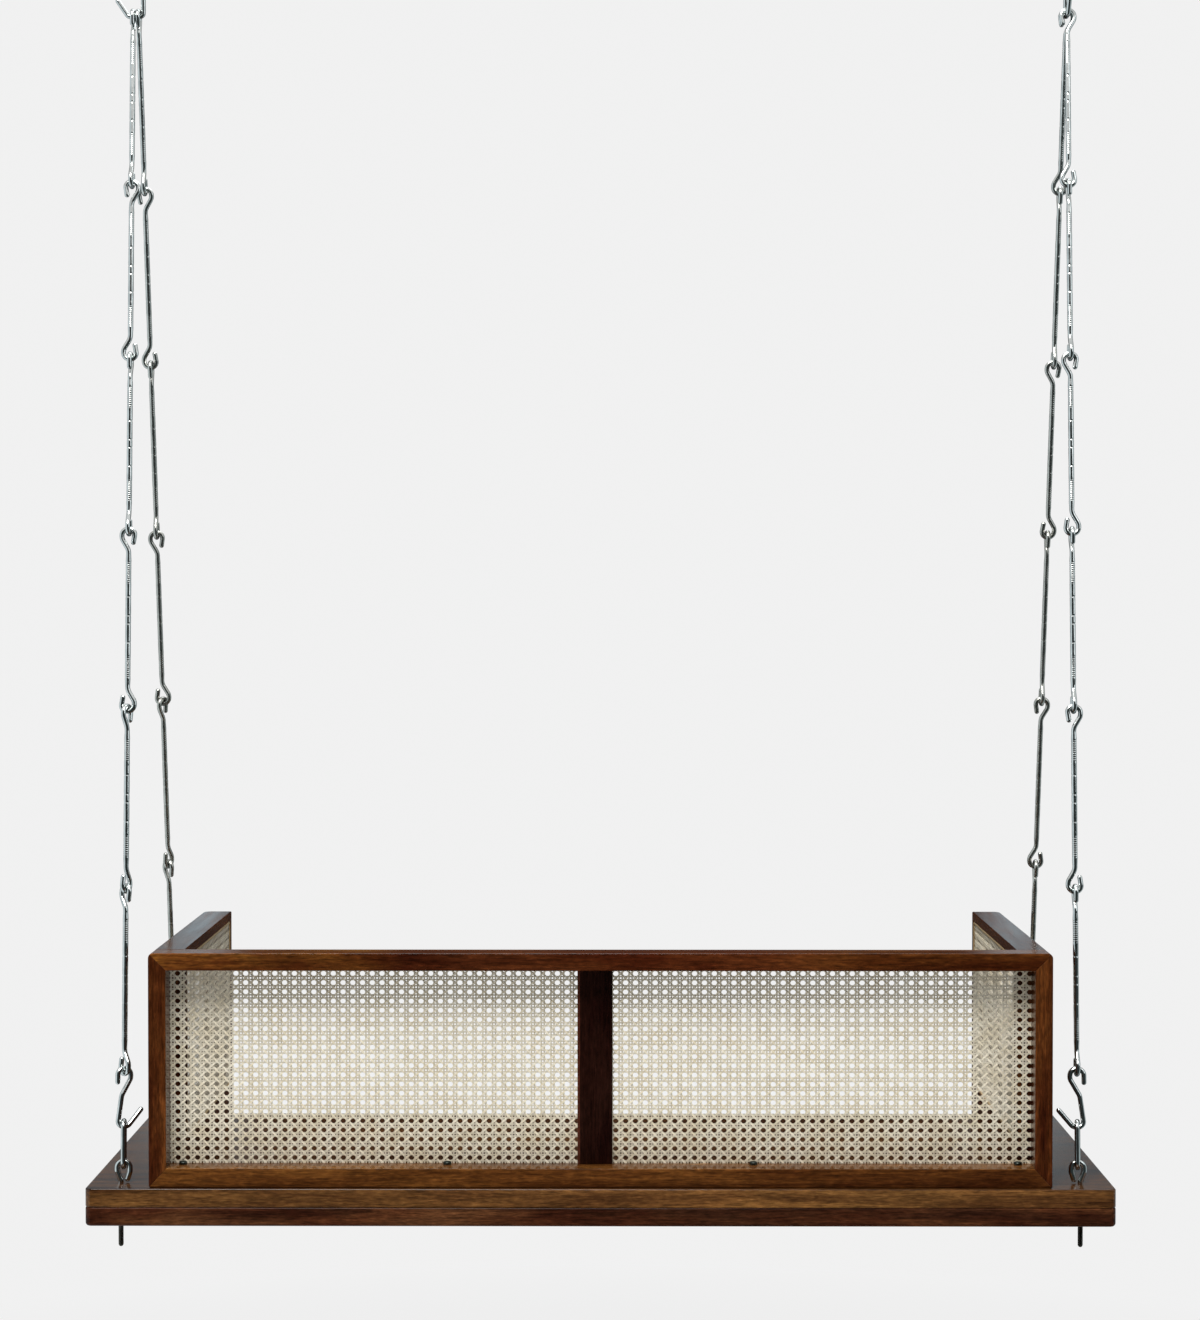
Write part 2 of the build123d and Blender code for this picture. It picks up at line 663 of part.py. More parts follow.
# ---------------------------------------------------------------- fasteners
def make_fasteners():
    """Screws, bolts, dowels and the eye bolts with their washers and nuts."""
    pieces = {
        "back_bolts": [back_bolt(x) for x in back_bolt_xs()],
        "frame_screws": [
            screw_from_below(x, y, board_bottom + FRAME_SCREW_BITE) for x, y in frame_screw_spots()
        ],
        "arm_screws": [screw_from_below(x, y, seat_top + ARM_SCREW_BITE) for x, y in arm_screw_spots()],
        "arm_dowels": dowels(0),
    }
    washer = Cylinder(WASHER_DIAMETER / 2, WASHER_THICKNESS)
    washer -= Cylinder(BOLT_HOLE_DIAMETER / 2, 3 * WASHER_THICKNESS)
    nut = extrude(RegularPolygon(NUT_WIDTH / 2, 6, major_radius=False), NUT_HEIGHT)
    nut -= Cylinder(BOLT_HOLE_DIAMETER / 2, 3 * NUT_HEIGHT)
    washers, nuts = [], []
    for (side, end), (x, y) in shank_spots().items():
        inward = Rot(0, 0, 0 if side == LEFT else 180)
        pieces[f"{SIDE_NAMES[side]}_{end}_eye_bolt"] = Pos(side * bolt_x, y, seat_top) * inward * eye_bolt()
        washers.append(Pos(x, y, seat_bottom - WASHER_THICKNESS / 2) * washer)
        nuts.append(Pos(x, y, seat_bottom - WASHER_THICKNESS - NUT_HEIGHT) * nut)
    pieces["eye_bolt_washers"] = washers
    pieces["eye_bolt_nuts"] = nuts
    return pieces


# ---------------------------------------------------------------- hanging gear
def make_hanging_gear():
    """The ceiling plates, top rings and hooks, and the four chains with their hooks and rings."""
    pieces = {}
    for side, name in SIDE_NAMES.items():
        x = side * hanger_x
        tops = [(x, 0, swing_axis), (x, 0, sway_axis), (x, 0, chain_top)]
        pieces[f"{name}_ceiling_plate"] = Pos(x, 0, 0) * ceiling_hanger(CEILING_EYE_TURNS[side])
        pieces[f"{name}_top_ring"] = hung(round_ring(), tops[0], tops[1], ROUND_RING_TURNS[side])
        top_hook = s_hook(TOP_HOOK_KINK, TOP_HOOK_SEAT, TOP_HOOK_BEND_RADII)
        pieces[f"{name}_top_hook"] = hung(top_hook, tops[1], tops[2], TOP_HOOK_TURNS[side])
        rods = [[] for _ in range(RODS_PER_CHAIN)]
        for end in ENDS:
            reach, points = chain_points(side, end)
            spans = list(zip(points, points[1:]))
            for place, (top, bottom) in enumerate(spans[:RODS_PER_CHAIN]):
                rods[place].append(hung(rod(reach), top, bottom, ROD_TURNS[side][place]))
            hook_span, ring_span = spans[RODS_PER_CHAIN:]
            hook = s_hook(S_HOOK_KINK, S_HOOK_SEAT, S_HOOK_BEND_RADII)
            pieces[f"{name}_{end}_hook"] = hung(hook, *hook_span, BOTTOM_HOOK_TURNS[side])
            pieces[f"{name}_{end}_ring"] = hung(oval_ring(), *ring_span, OVAL_RING_TURNS[side])
        for place, pair in enumerate(rods, start=1):
            pieces[f"{name}_rods_{place}"] = pair
    return pieces


# ---------------------------------------------------------------- all pieces
def all_pieces():
    """Every node of the swing by name; a list is a group of separate solids."""
    pieces = {}
    pieces.update(make_seat())
    pieces.update(make_back())
    for side in (LEFT, RIGHT):
        pieces.update(make_arm(side))
    pieces.update(make_cane())
    pieces.update(make_fasteners())
    pieces.update(make_hanging_gear())
    return pieces


def main():
    """Writes one STEP file for each node."""
    os.makedirs("parts", exist_ok=True)
    for name, piece in all_pieces().items():
        solids = piece if isinstance(piece, list) else [piece]
        group = Compound(children=[solid for item in solids for solid in item.solids()])
        group.label = name
        export_step(group, f"parts/{name}.step")
    for side, name in SIDE_NAMES.items():
        for end in ENDS:
            (top, bottom), reach = chain_ends(side, end), chain_points(side, end)[0]
            lean = degrees(atan2(bottom[1] - top[1], hypot(top[0] - bottom[0], top[2] - bottom[2])))
            print(f"{name} {end} chain: rods {reach:.2f} mm apart, leaning {lean:.2f} degrees")


main()
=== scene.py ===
"""A jhoola, a hanging bench swing of glossy wood and woven cane on chains of hooked steel rods.

Each piece is dressed or made by an operator of its own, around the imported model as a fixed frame.
Lengths are in metres, in the model's frame: +X along the seat, +Y the way the sitter faces, +Z up,
with the origin on the ceiling.
"""

import math

import bpy
import numpy as np
from bpy.props import FloatProperty, FloatVectorProperty, IntProperty, PointerProperty
from bpy.types import Operator, Panel, PropertyGroup
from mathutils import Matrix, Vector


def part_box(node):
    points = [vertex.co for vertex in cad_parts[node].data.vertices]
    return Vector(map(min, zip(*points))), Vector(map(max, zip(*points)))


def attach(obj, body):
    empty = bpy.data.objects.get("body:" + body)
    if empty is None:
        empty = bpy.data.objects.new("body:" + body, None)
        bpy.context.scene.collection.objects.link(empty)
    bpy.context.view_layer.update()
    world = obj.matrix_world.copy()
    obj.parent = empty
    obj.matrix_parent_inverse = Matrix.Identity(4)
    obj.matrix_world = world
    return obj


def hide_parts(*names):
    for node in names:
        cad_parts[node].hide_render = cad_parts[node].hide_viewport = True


bl_info = {
    "name": "Jhoola swing",
    "version": (1, 0, 0),
    "blender": (4, 5, 0),
    "location": "View3D > Sidebar > Swing",
    "description": "Dresses a hanging bench swing: wood, woven cane, hooked rods, hooks, rings and bolts",
    "category": "Add Mesh",
}

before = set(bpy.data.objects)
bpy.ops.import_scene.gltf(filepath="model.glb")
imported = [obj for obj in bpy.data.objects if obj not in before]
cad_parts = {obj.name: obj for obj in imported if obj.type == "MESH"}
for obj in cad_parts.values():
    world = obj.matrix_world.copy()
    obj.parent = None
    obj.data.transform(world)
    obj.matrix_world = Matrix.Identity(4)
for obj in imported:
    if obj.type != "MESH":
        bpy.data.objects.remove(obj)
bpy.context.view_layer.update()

SIDES = {"left": -1, "right": 1}
ENDS = ("rear", "front")
PLAIN = (1.0, 1.0, 1.0)

seat_low, seat_high = (np.array(corner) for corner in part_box("seat_board"))

# How far each link is turned about its own chain, in degrees from the plane that faces rearward.
ROD_TURNS = {"left": (90, 0, 90, 180, 246, 134), "right": (0, 90, 180, 90, 0, 90)}
TOP_HOOK_TURNS = {"left": 0, "right": 90}
ROUND_RING_TURNS = {"left": 90, "right": 0}
BOTTOM_HOOK_TURNS = {"left": 215, "right": 0}
OVAL_RING_TURNS = {"left": 96, "right": 78}

# The weave of each back panel: the X of one hole's middle, and the pitch across.
BACK_WEAVE = {"left": (-0.63117, 0.01454), "right": (0.02305, 0.01469)}

# A cane sheet's thickness, its lap under the frame, and how far it stays inside the CAD sheet.
SHEET, CANE_LAP, CANE_INSET = 0.0018, 0.012, 0.0003

# An S-hook's kink (its X, and its height above the bottom), the X of both ends of its seat at the
# bottom, and the radii of the two bends beside the seat.
TOP_HOOK_SHAPE = ((0.0119, 0.040), (-0.0115, 0.0119), (0.0052, 0.0050))
BOTTOM_HOOK_SHAPE = ((0.004, 0.046), (-0.0065, 0.0105), (0.008, 0.009))

# The distance between the rings of points along a rod, and along any other wire.
ROD_STEP, WIRE_STEP = 0.0007, 0.0009

UV_MAP = "Along and across"

# ---------------------------------------------------------------- settings
class SwingWoodSettings(PropertyGroup):
    """Colours and gloss of the lacquered wood."""

    board_dark: FloatVectorProperty(
        name="Board dark", description="Darkest streaks of the seat board", subtype="COLOR",
        size=3, default=(0.052, 0.0195, 0.0062), min=0, max=1)
    board_light: FloatVectorProperty(
        name="Board light", description="Lightest streaks of the seat board", subtype="COLOR",
        size=3, default=(0.225, 0.100, 0.0265), min=0, max=1)
    lower_dark: FloatVectorProperty(
        name="Lower frame dark", description="Darkest streaks of the frame under the board",
        subtype="COLOR", size=3, default=(0.016, 0.0050, 0.0034), min=0, max=1)
    lower_light: FloatVectorProperty(
        name="Lower frame light", description="Lightest streaks of the frame under the board",
        subtype="COLOR", size=3, default=(0.108, 0.039, 0.0145), min=0, max=1)
    frame_dark: FloatVectorProperty(
        name="Back and arms dark", description="Darkest streaks of the back and the arms",
        subtype="COLOR", size=3, default=(0.030, 0.0062, 0.0022), min=0, max=1)
    frame_light: FloatVectorProperty(
        name="Back and arms light", description="Lightest streaks of the back and the arms",
        subtype="COLOR", size=3, default=(0.130, 0.040, 0.0085), min=0, max=1)
    rail_dark: FloatVectorProperty(
        name="Bottom rail dark", description="Darkest streaks of the back's bottom rail",
        subtype="COLOR", size=3, default=(0.044, 0.0120, 0.0028), min=0, max=1)
    rail_light: FloatVectorProperty(
        name="Bottom rail light", description="Lightest streaks of the back's bottom rail",
        subtype="COLOR", size=3, default=(0.148, 0.053, 0.0105), min=0, max=1)
    # The centre stile's own wood shows in a narrow strip at its left edge; the rest of it carries painted
    # shade.
    centre_dark: FloatVectorProperty(
        name="Centre stile", description="Wood of the centre stile, where its dark stain is worn",
        subtype="COLOR", size=3, default=(0.048, 0.0135, 0.0075), min=0, max=1)
    heartwood: FloatProperty(
        name="Heartwood", description="Strength of the darker and redder stretches", default=0.8,
        min=0, max=1, subtype="FACTOR")
    roughness: FloatProperty(
        name="Roughness", description="Roughness of the lacquered wood",
        default=0.17, min=0, max=1, subtype="FACTOR")


class SwingCaneSettings(PropertyGroup):
    """Sizes and colour of the six-way woven cane."""

    pitch_across: FloatProperty(
        name="Pitch across", description="Distance between pairs of upright strands in the arms",
        default=0.0145, min=0.005, unit="LENGTH")
    pitch_up: FloatProperty(
        name="Pitch up", description="Distance between pairs of level strands",
        default=0.0138, min=0.005, unit="LENGTH")
    first_hole: FloatProperty(
        name="First hole", description="Height of the lowest row of holes above the bottom rail",
        default=0.0076, unit="LENGTH")
    pair_gap: FloatProperty(
        name="Pair gap", description="Distance between the middles of the two strands of a pair",
        default=0.0046, min=0.001, unit="LENGTH")
    strand_width: FloatProperty(
        name="Strand width", description="Width of an upright or level strand",
        default=0.0022, min=0.0005, unit="LENGTH")
    diagonal_width: FloatProperty(
        name="Diagonal width", description="Width of a diagonal strand",
        default=0.0027, min=0.0005, unit="LENGTH")
    strand_thickness: FloatProperty(
        name="Strand thickness", description="Thickness of a strand", default=0.0004,
        min=0.0001, unit="LENGTH")
    colour: FloatVectorProperty(
        name="Cane colour", description="Colour of the peeled cane", subtype="COLOR", size=3,
        default=(0.76, 0.705, 0.575), min=0, max=1)
    spline_colour: FloatVectorProperty(
        name="Spline colour", description="Colour of the reed pressed in round the cane",
        subtype="COLOR", size=3, default=(0.50, 0.36, 0.19), min=0, max=1)


class SwingChainSettings(PropertyGroup):
    """Places and sizes of the rods, hooks, rings and eye bolts."""

    hanger_x: FloatProperty(
        name="Hanger X", description="Distance of each ceiling plate from the middle",
        default=0.727, unit="LENGTH")
    bolt_x: FloatProperty(
        name="Bolt X", description="Distance of the eye bolts from the middle", default=0.712,
        unit="LENGTH")
    bolt_from_edge: FloatProperty(
        name="Bolt from edge", description="Distance of each eye bolt from the seat's long edge",
        default=0.0475, unit="LENGTH")
    swing_axis: FloatProperty(
        name="Swing axis", description="Height of the line the swing turns about",
        default=-0.0361, unit="LENGTH")
    wire: FloatProperty(
        name="Wire", description="Thickness of the rods, hooks and rings", default=0.0075,
        min=0.001, unit="LENGTH")
    bolt_wire: FloatProperty(
        name="Bolt", description="Thickness of the eye bolts", default=0.008, min=0.001,
        unit="LENGTH")
    play: FloatProperty(
        name="Play", description="Slack where two links meet", default=0.0006, unit="LENGTH")
    swing_play: FloatProperty(
        name="Swing play", description="Slack between the ceiling eye and the round ring",
        default=0.0008, unit="LENGTH")
    hook_half_width: FloatProperty(
        name="Hook half width", description="Half the width of a hook between wire middles",
        default=0.0105, unit="LENGTH")
    s_hook_reach: FloatProperty(
        name="S-hook reach", description="Distance between an S-hook's two contacts",
        default=0.078, unit="LENGTH")
    oval_reach: FloatProperty(
        name="Oval ring reach", description="Distance between an oval ring's two contacts",
        default=0.060, unit="LENGTH")
    round_reach: FloatProperty(
        name="Round ring reach", description="Distance between a round ring's two contacts",
        default=0.044, unit="LENGTH")
    eye_height: FloatProperty(
        name="Eye height", description="Height of an eye bolt's contact above the seat",
        default=0.027, unit="LENGTH")
    eye_half_width: FloatProperty(
        name="Eye half width", description="Half the width of an eye between wire middles",
        default=0.0095, unit="LENGTH")
    eye_offset: FloatProperty(
        name="Eye offset", description="Distance from an eye's middle to its shank",
        default=0.0042, unit="LENGTH")
    rods: IntProperty(
        name="Rods", description="Rods in each chain", default=6, min=1)
    sides: IntProperty(
        name="Sides", description="Facets round a wire", default=20, min=8)
    plating: FloatVectorProperty(
        name="Plating", description="Colour of the plated steel", subtype="COLOR", size=3,
        default=(0.64, 0.67, 0.66), min=0, max=1)
    rod_roughness: FloatProperty(
        name="Roughness", description="Roughness of the plated steel", default=0.10, min=0,
        max=1, subtype="FACTOR")


class SwingStageSettings(PropertyGroup):
    """Floor, background, lamps and camera."""

    background: FloatProperty(
        name="Background", description="Brightness of the background, where 1 is white",
        default=0.877, min=0, max=1, subtype="FACTOR")
    floor_drop: FloatProperty(
        name="Floor drop", description="Distance from the seat's top to the floor",
        default=0.80, unit="LENGTH")
    curtain_radius: FloatProperty(
        name="Curtain radius", description="Distance of the curtain from the swing", default=6.0,
        unit="LENGTH")
    curtain_top: FloatProperty(
        name="Curtain top", description="Height of the curtain's upper edge", default=1.9,
        unit="LENGTH")
    curtain_line: FloatProperty(
        name="Curtain line", description="Height at which the curtain in front grows darker",
        default=-0.83, unit="LENGTH")
    curtain_colour: FloatVectorProperty(
        name="Curtain colour", description="Grey that shows in gloss and reflections",
        subtype="COLOR", size=3, default=(0.265, 0.315, 0.345), min=0, max=1)
    ambient: FloatProperty(
        name="Ambient", description="Strength of the even light from all sides", default=0.17,
        min=0)
    key: FloatProperty(name="Key", description="Power of the large lamp", default=370, min=0)
    fill: FloatProperty(name="Fill", description="Power of the lamp on the other side",
                        default=30, min=0)
    top: FloatProperty(name="Top", description="Power of the lamp overhead", default=60, min=0)
    lens: FloatProperty(name="Lens", description="Focal length on a 36 mm frame", default=76.86,
                        min=1)
    camera_distance: FloatProperty(
        name="Camera distance", description="Distance of the camera behind the seat's rear edge",
        default=4.141, unit="LENGTH")
    camera_height: FloatProperty(
        name="Camera height", description="Height of the camera above the seat's top",
        default=0.8744, unit="LENGTH")
    camera_x: FloatProperty(
        name="Camera X", description="Distance of the camera to the right of the middle",
        default=0.0181, unit="LENGTH")
    pitch: FloatProperty(name="Pitch", description="How far the camera looks down",
                         default=math.radians(1.287), subtype="ANGLE")
    yaw: FloatProperty(name="Yaw", description="How far the camera looks to the left",
                       default=math.radians(0.254), subtype="ANGLE")


# ---------------------------------------------------------------- meshes
def make_object(name, points, faces, material, smooth=True, uv=None):
    """Puts whole arrays of points and faces into a mesh, turned so that its faces point outwards.

    The signed volume is the sum over faces of the box product of three corners, and is negative
    where the faces point inwards, so then each face is read backwards.
    """
    points = np.ascontiguousarray(points, dtype=np.float64).reshape(-1, 3)
    faces = [np.asarray(block, dtype=np.int64) for block in faces if len(block)]
    middle = points.mean(axis=0)
    volume = 0.0
    for block in faces:
        corner = points[block] - middle
        for third in range(2, block.shape[1]):
            a, b, c = corner[:, 0], corner[:, third - 1], corner[:, third]
            volume += np.einsum("ij,ij->", a, np.cross(b, c))
    if volume < 0:
        faces = [block[:, ::-1] for block in faces]
    mesh = bpy.data.meshes.new(name)
    mesh.vertices.add(len(points))
    mesh.vertices.foreach_set("co", points.ravel())
    corners = np.concatenate([block.ravel() for block in faces])
    sizes = np.concatenate([np.full(len(block), block.shape[1]) for block in faces])
    mesh.loops.add(len(corners))
    mesh.loops.foreach_set("vertex_index", corners)
    mesh.polygons.add(len(sizes))
    mesh.polygons.foreach_set("loop_start", np.concatenate([[0], np.cumsum(sizes)[:-1]]))
    mesh.polygons.foreach_set("use_smooth", np.full(len(sizes), smooth))
    if uv is not None:
        layer = mesh.uv_layers.new(name=UV_MAP)
        layer.data.foreach_set("uv", np.asarray(uv, dtype=np.float64).reshape(-1, 2)[corners].ravel())
    mesh.update(calc_edges=True)
    mesh.validate()
    piece = bpy.data.objects.new(name, mesh)
    bpy.context.scene.collection.objects.link(piece)
    mesh.materials.append(material)
    return piece


def place_piece(piece, body, node):
    """Lets a piece ride on its body, in place of its CAD node, which it hides."""
    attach(piece, body)
    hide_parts(node)


def skin(rings, closed_along=False, offset=0):
    """Faces over a grid of rings: quads from ring to ring, and a fan over each open end.

    The last two points after the rings are the middles of the first and the last ring.
    """
    along, around = rings
    index = np.arange(along * around).reshape(along, around) + offset
    following = np.roll(index, -1, axis=0) if closed_along else index[1:]
    start = index if closed_along else index[:-1]
    beside = np.roll(start, -1, axis=1)
    beside_following = np.roll(following, -1, axis=1)
    quads = np.stack([start, beside, beside_following, following], axis=-1).reshape(-1, 4)
    if closed_along:
        return [quads]
    first, last = offset + along * around, offset + along * around + 1
    head, tail = index[0], index[-1]
    fan_head = np.stack([np.full(around, first), np.roll(head, -1), head], axis=-1)
    fan_tail = np.stack([np.full(around, last), tail, np.roll(tail, -1)], axis=-1)
    return [quads, np.concatenate([fan_head, fan_tail])]


def bent_path(points, radii, step):
    """A path in the XZ plane along straight runs with an arc in each corner.

    An arc of radius r that turns by t starts r tan(t / 2) before its corner and ends as far after
    it; its centre lies r to the side of the run. Returns the points and their distances along.
    """
    fewest, per_step = 9, 6
    points = np.asarray(points, dtype=float)
    pieces = [points[:1]]
    for before, corner, after, radius in zip(points[:-2], points[1:-1], points[2:], radii):
        inward = (corner - before) / np.linalg.norm(corner - before)
        outward = (after - corner) / np.linalg.norm(after - corner)
        turn = math.atan2(inward[0] * outward[1] - inward[1] * outward[0], inward @ outward)
        reach = radius * math.tan(abs(turn) / 2)
        side = math.copysign(1, turn) * np.array([-inward[1], inward[0]])
        centre = corner - inward * reach + side * radius
        angles = np.linspace(0, turn, max(fewest, int(abs(turn) * radius / step * per_step) + 1))
        spoke = -side * radius
        arc = np.stack([
            spoke[0] * np.cos(angles) - spoke[1] * np.sin(angles),
            spoke[0] * np.sin(angles) + spoke[1] * np.cos(angles),
        ], axis=-1)
        pieces.append(centre + arc)
    pieces.append(points[-1:])
    coarse = np.concatenate(pieces)
    lengths = np.linalg.norm(np.diff(coarse, axis=0), axis=1)
    keep = np.concatenate([[True], lengths > 1e-7])
    coarse = coarse[keep]
    far = np.concatenate([[0], np.cumsum(np.linalg.norm(np.diff(coarse, axis=0), axis=1))])
    return coarse, far


def resampled(coarse, far, stations):
    """The path's points at the given distances along it."""
    return np.stack([np.interp(stations, far, coarse[:, axis]) for axis in range(2)], axis=-1)


def tube(line, tangent, radius):
    """A tube along a line in the XZ plane: each ring stands square to the line.

    The ring at a point is the point plus radius times cos a along the line's normal in the
    plane and sin a along Y. radius has a row for each point and a column for each angle.
    """
    angles = np.linspace(0, 2 * np.pi, radius.shape[1], endpoint=False)
    tangent = tangent / np.linalg.norm(tangent, axis=1, keepdims=True)
    spread = radius * np.cos(angles)
    x = line[:, 0, None] - spread * tangent[:, 1, None]
    z = line[:, 1, None] + spread * tangent[:, 0, None]
    return np.stack([x, radius * np.sin(angles), z], axis=-1).reshape(-1, 3)


def wire_surface(line, radius):
    """A wire that ends: a tube along the line, then the middles of its first and last ring."""
    centres = np.stack([line[[0, -1], 0], [0, 0], line[[0, -1], 1]], axis=-1)
    return np.concatenate([tube(line, np.gradient(line, axis=0), radius), centres])


def rounded_stations(length, radius, step):
    """Distances along a wire, closer together at its rounded ends.

    Over an end they are the radius times 1 - cos a, for even angles up to a quarter turn.
    """
    cap_rings, first_angle = 6, 0.25
    dome = radius * (1 - np.cos(np.linspace(first_angle, np.pi / 2, cap_rings)))
    body = np.arange(radius, length - radius, step)
    return np.concatenate([dome, body[1:], (length - dome)[::-1]])


def dome_radius(stations, length, radius):
    """The wire's radius at each station: full, and a quarter circle over each end."""
    from_end = np.minimum(stations, length - stations)
    inside = np.clip(from_end / radius, 0, 1)
    return radius * np.sqrt(np.clip(1 - (1 - inside) ** 2, 0.0, 1))


# ---------------------------------------------------------------- placing
def turned(points, degrees):
    """Points turned about Z: X is x cos a less y sin a, and Y is x sin a plus y cos a."""
    angle = math.radians(degrees)
    cos, sin = math.cos(angle), math.sin(angle)
    x, y = points[:, 0] * cos - points[:, 1] * sin, points[:, 0] * sin + points[:, 1] * cos
    return np.stack([x, y, points[:, 2]], axis=-1)


def hung(points, top, bottom, degrees):
    """A link made with its top contact at the origin, turned about Z and hung between two points.

    Its Z then runs from the bottom point to the top one, its X is the seat's X less what of it lies
    along that run, and its Y is square to both.
    """
    up = np.array(top, dtype=float) - np.array(bottom, dtype=float)
    up /= np.linalg.norm(up)
    across = np.array([1.0, 0, 0]) - up * up[0]
    across /= np.linalg.norm(across)
    forward = np.cross(up, across)
    basis = np.stack([across, forward, up], axis=0)
    return np.array(top) + turned(points, degrees) @ basis


def levels(chain):
    """Heights of the sway axis and of the rods' top contact."""
    sway = chain.swing_axis - chain.round_reach
    return sway, sway - chain.s_hook_reach


def bolt_place(chain, side, end):
    """Where an eye bolt stands on the seat."""
    if end == "rear":
        y = seat_low[1] + chain.bolt_from_edge
    else:
        y = seat_high[1] - chain.bolt_from_edge
    return np.array([SIDES[side] * chain.bolt_x, y, seat_high[2]])


def chain_points(chain, side, end):
    """The contacts down one chain: between the rods, then the S-hook, the ring and the eye bolt."""
    beside = (chain.wire + chain.play) / 2 * (-1 if end == "rear" else 1)
    offset = (beside, 0) if TOP_HOOK_TURNS[side] == 0 else (0, beside)
    top = np.array([SIDES[side] * chain.hanger_x + offset[0], offset[1], levels(chain)[1]])
    bottom = bolt_place(chain, side, end) + [0, 0, chain.eye_height]
    length = np.linalg.norm(bottom - top)
    reach = (length - chain.s_hook_reach - chain.oval_reach) / chain.rods
    last = [chain.rods * reach + chain.s_hook_reach, length]
    stops = np.append(np.arange(chain.rods + 1) * reach, last)
    return reach, top + (bottom - top) / length * stops[:, None]


# ---------------------------------------------------------------- node helpers
def blank_tree(owner, output):
    """The emptied node tree of a material or a world, and its output node."""
    owner.use_nodes = True
    tree = owner.node_tree
    tree.nodes.clear()
    return tree, tree.nodes.new(output)


def blank_material(name):
    """A material with only a Principled shader and its output."""
    material = bpy.data.materials.new(name)
    tree, output = blank_tree(material, "ShaderNodeOutputMaterial")
    shader = tree.nodes.new("ShaderNodeBsdfPrincipled")
    tree.links.new(shader.outputs["BSDF"], output.inputs["Surface"])
    return material, tree, shader


def add_node(tree, kind, values=(), **settings):
    """A node with its settings, and its inputs set to values or linked from sockets."""
    node = tree.nodes.new(kind)
    for key, value in settings.items():
        setattr(node, key, value)
    for key, value in dict(values).items():
        if isinstance(value, bpy.types.NodeSocket):
            tree.links.new(value, node.inputs[key])
        else:
            node.inputs[key].default_value = value
    return node


def ramp(tree, factor, stops):
    """A colour ramp through (place, colour) stops."""
    node = add_node(tree, "ShaderNodeValToRGB", {"Fac": factor})
    elements = node.color_ramp.elements
    while len(elements) > 1:
        elements.remove(elements[-1])
    elements[0].position, elements[0].color = stops[0][0], (*stops[0][1], 1)
    for place, colour in stops[1:]:
        elements.new(place).color = (*colour, 1)
    return node.outputs["Color"]


def math_node(tree, operation, first, second=0.0):
    """One Math node."""
    return add_node(tree, "ShaderNodeMath", {0: first, 1: second}, operation=operation).outputs[0]


def weighted(tree, first, first_weight, second, second_weight):
    """The sum of two values, each times its weight."""
    return math_node(tree, "ADD", math_node(tree, "MULTIPLY", first, first_weight),
                     math_node(tree, "MULTIPLY", second, second_weight))


def mixed(tree, factor, first, second, blend="MIX"):
    """One colour Mix node."""
    node = tree.nodes.new("ShaderNodeMix")
    node.data_type, node.blend_type = "RGBA", blend
    for socket, value in ((node.inputs[0], factor), (node.inputs[6], first), (node.inputs[7], second)):
        if isinstance(value, bpy.types.NodeSocket):
            tree.links.new(value, socket)
        else:
            socket.default_value = value if not hasattr(value, "__len__") else (*value[:3], 1)
    return node.outputs[2]


def tinted(tree, share, colour, tint):
    """A colour multiplied by a tint, to a share."""
    return mixed(tree, share, colour, tint, "MULTIPLY")


def coordinates(tree, kind="Object"):
    """The piece's own coordinates, or its UV map."""
    return add_node(tree, "ShaderNodeTexCoord").outputs[kind]


def coordinate(tree, vector, axis):
    """One coordinate of a vector."""
    return add_node(tree, "ShaderNodeSeparateXYZ", {"Vector": vector}).outputs[axis]


def mapped(tree, vector, scale, shift=(0.0, 0.0, 0.0)):
    """A pattern's coordinates, moved and scaled."""
    values = {"Vector": vector, "Location": shift, "Scale": scale}
    return add_node(tree, "ShaderNodeMapping", values).outputs[0]


def noise(tree, vector, scale, detail, roughness=0.5, output="Fac"):
    """One Noise Texture."""
    values = {"Vector": vector, "Scale": scale, "Detail": detail, "Roughness": roughness}
    return add_node(tree, "ShaderNodeTexNoise", values).outputs[output]


def share_between(tree, value, low, high, first=0.0, last=1.0):
    """A value that runs from first at low to last at high, and stays there beyond them."""
    values = {"Value": value, "From Min": low, "From Max": high, "To Min": first, "To Max": last}
    return add_node(tree, "ShaderNodeMapRange", values).outputs[0]


def dent(tree, shader, height, strength, depth):
    """Dents a shader's surface by a pattern's height."""
    bump = add_node(tree, "ShaderNodeBump", {"Strength": strength, "Distance": depth, "Height": height})
    tree.links.new(bump.outputs["Normal"], shader.inputs["Normal"])


def grey(value):
    """A colour with one value in each channel."""
    return (value,) * 3


def scaled(colour, factor):
    """A colour with each channel times a factor, and none above 1."""
    return tuple(min(1, value * factor) for value in colour)


# ---------------------------------------------------------------- materials
# What each pattern in the grain multiplies the wood's colour by, from its low values to its high ones.
GRAIN_TINTS = {
    "heart": [(0.40, (0.55, 0.36, 0.40)), (0.50, (0.92, 0.86, 0.84)), (0.60, (1.22, 1.30, 1.30))],
    "fibres": [(0.36, grey(0.50)), (0.50, PLAIN), (0.66, grey(1.40))],
    "flecks": [(0.34, grey(0.72)), (0.50, PLAIN), (0.60, (1.12, 1.14, 1.16)), (0.70, (1.5, 1.55, 1.6))],
    "pores": [(0.60, PLAIN), (0.70, grey(0.45))],
}


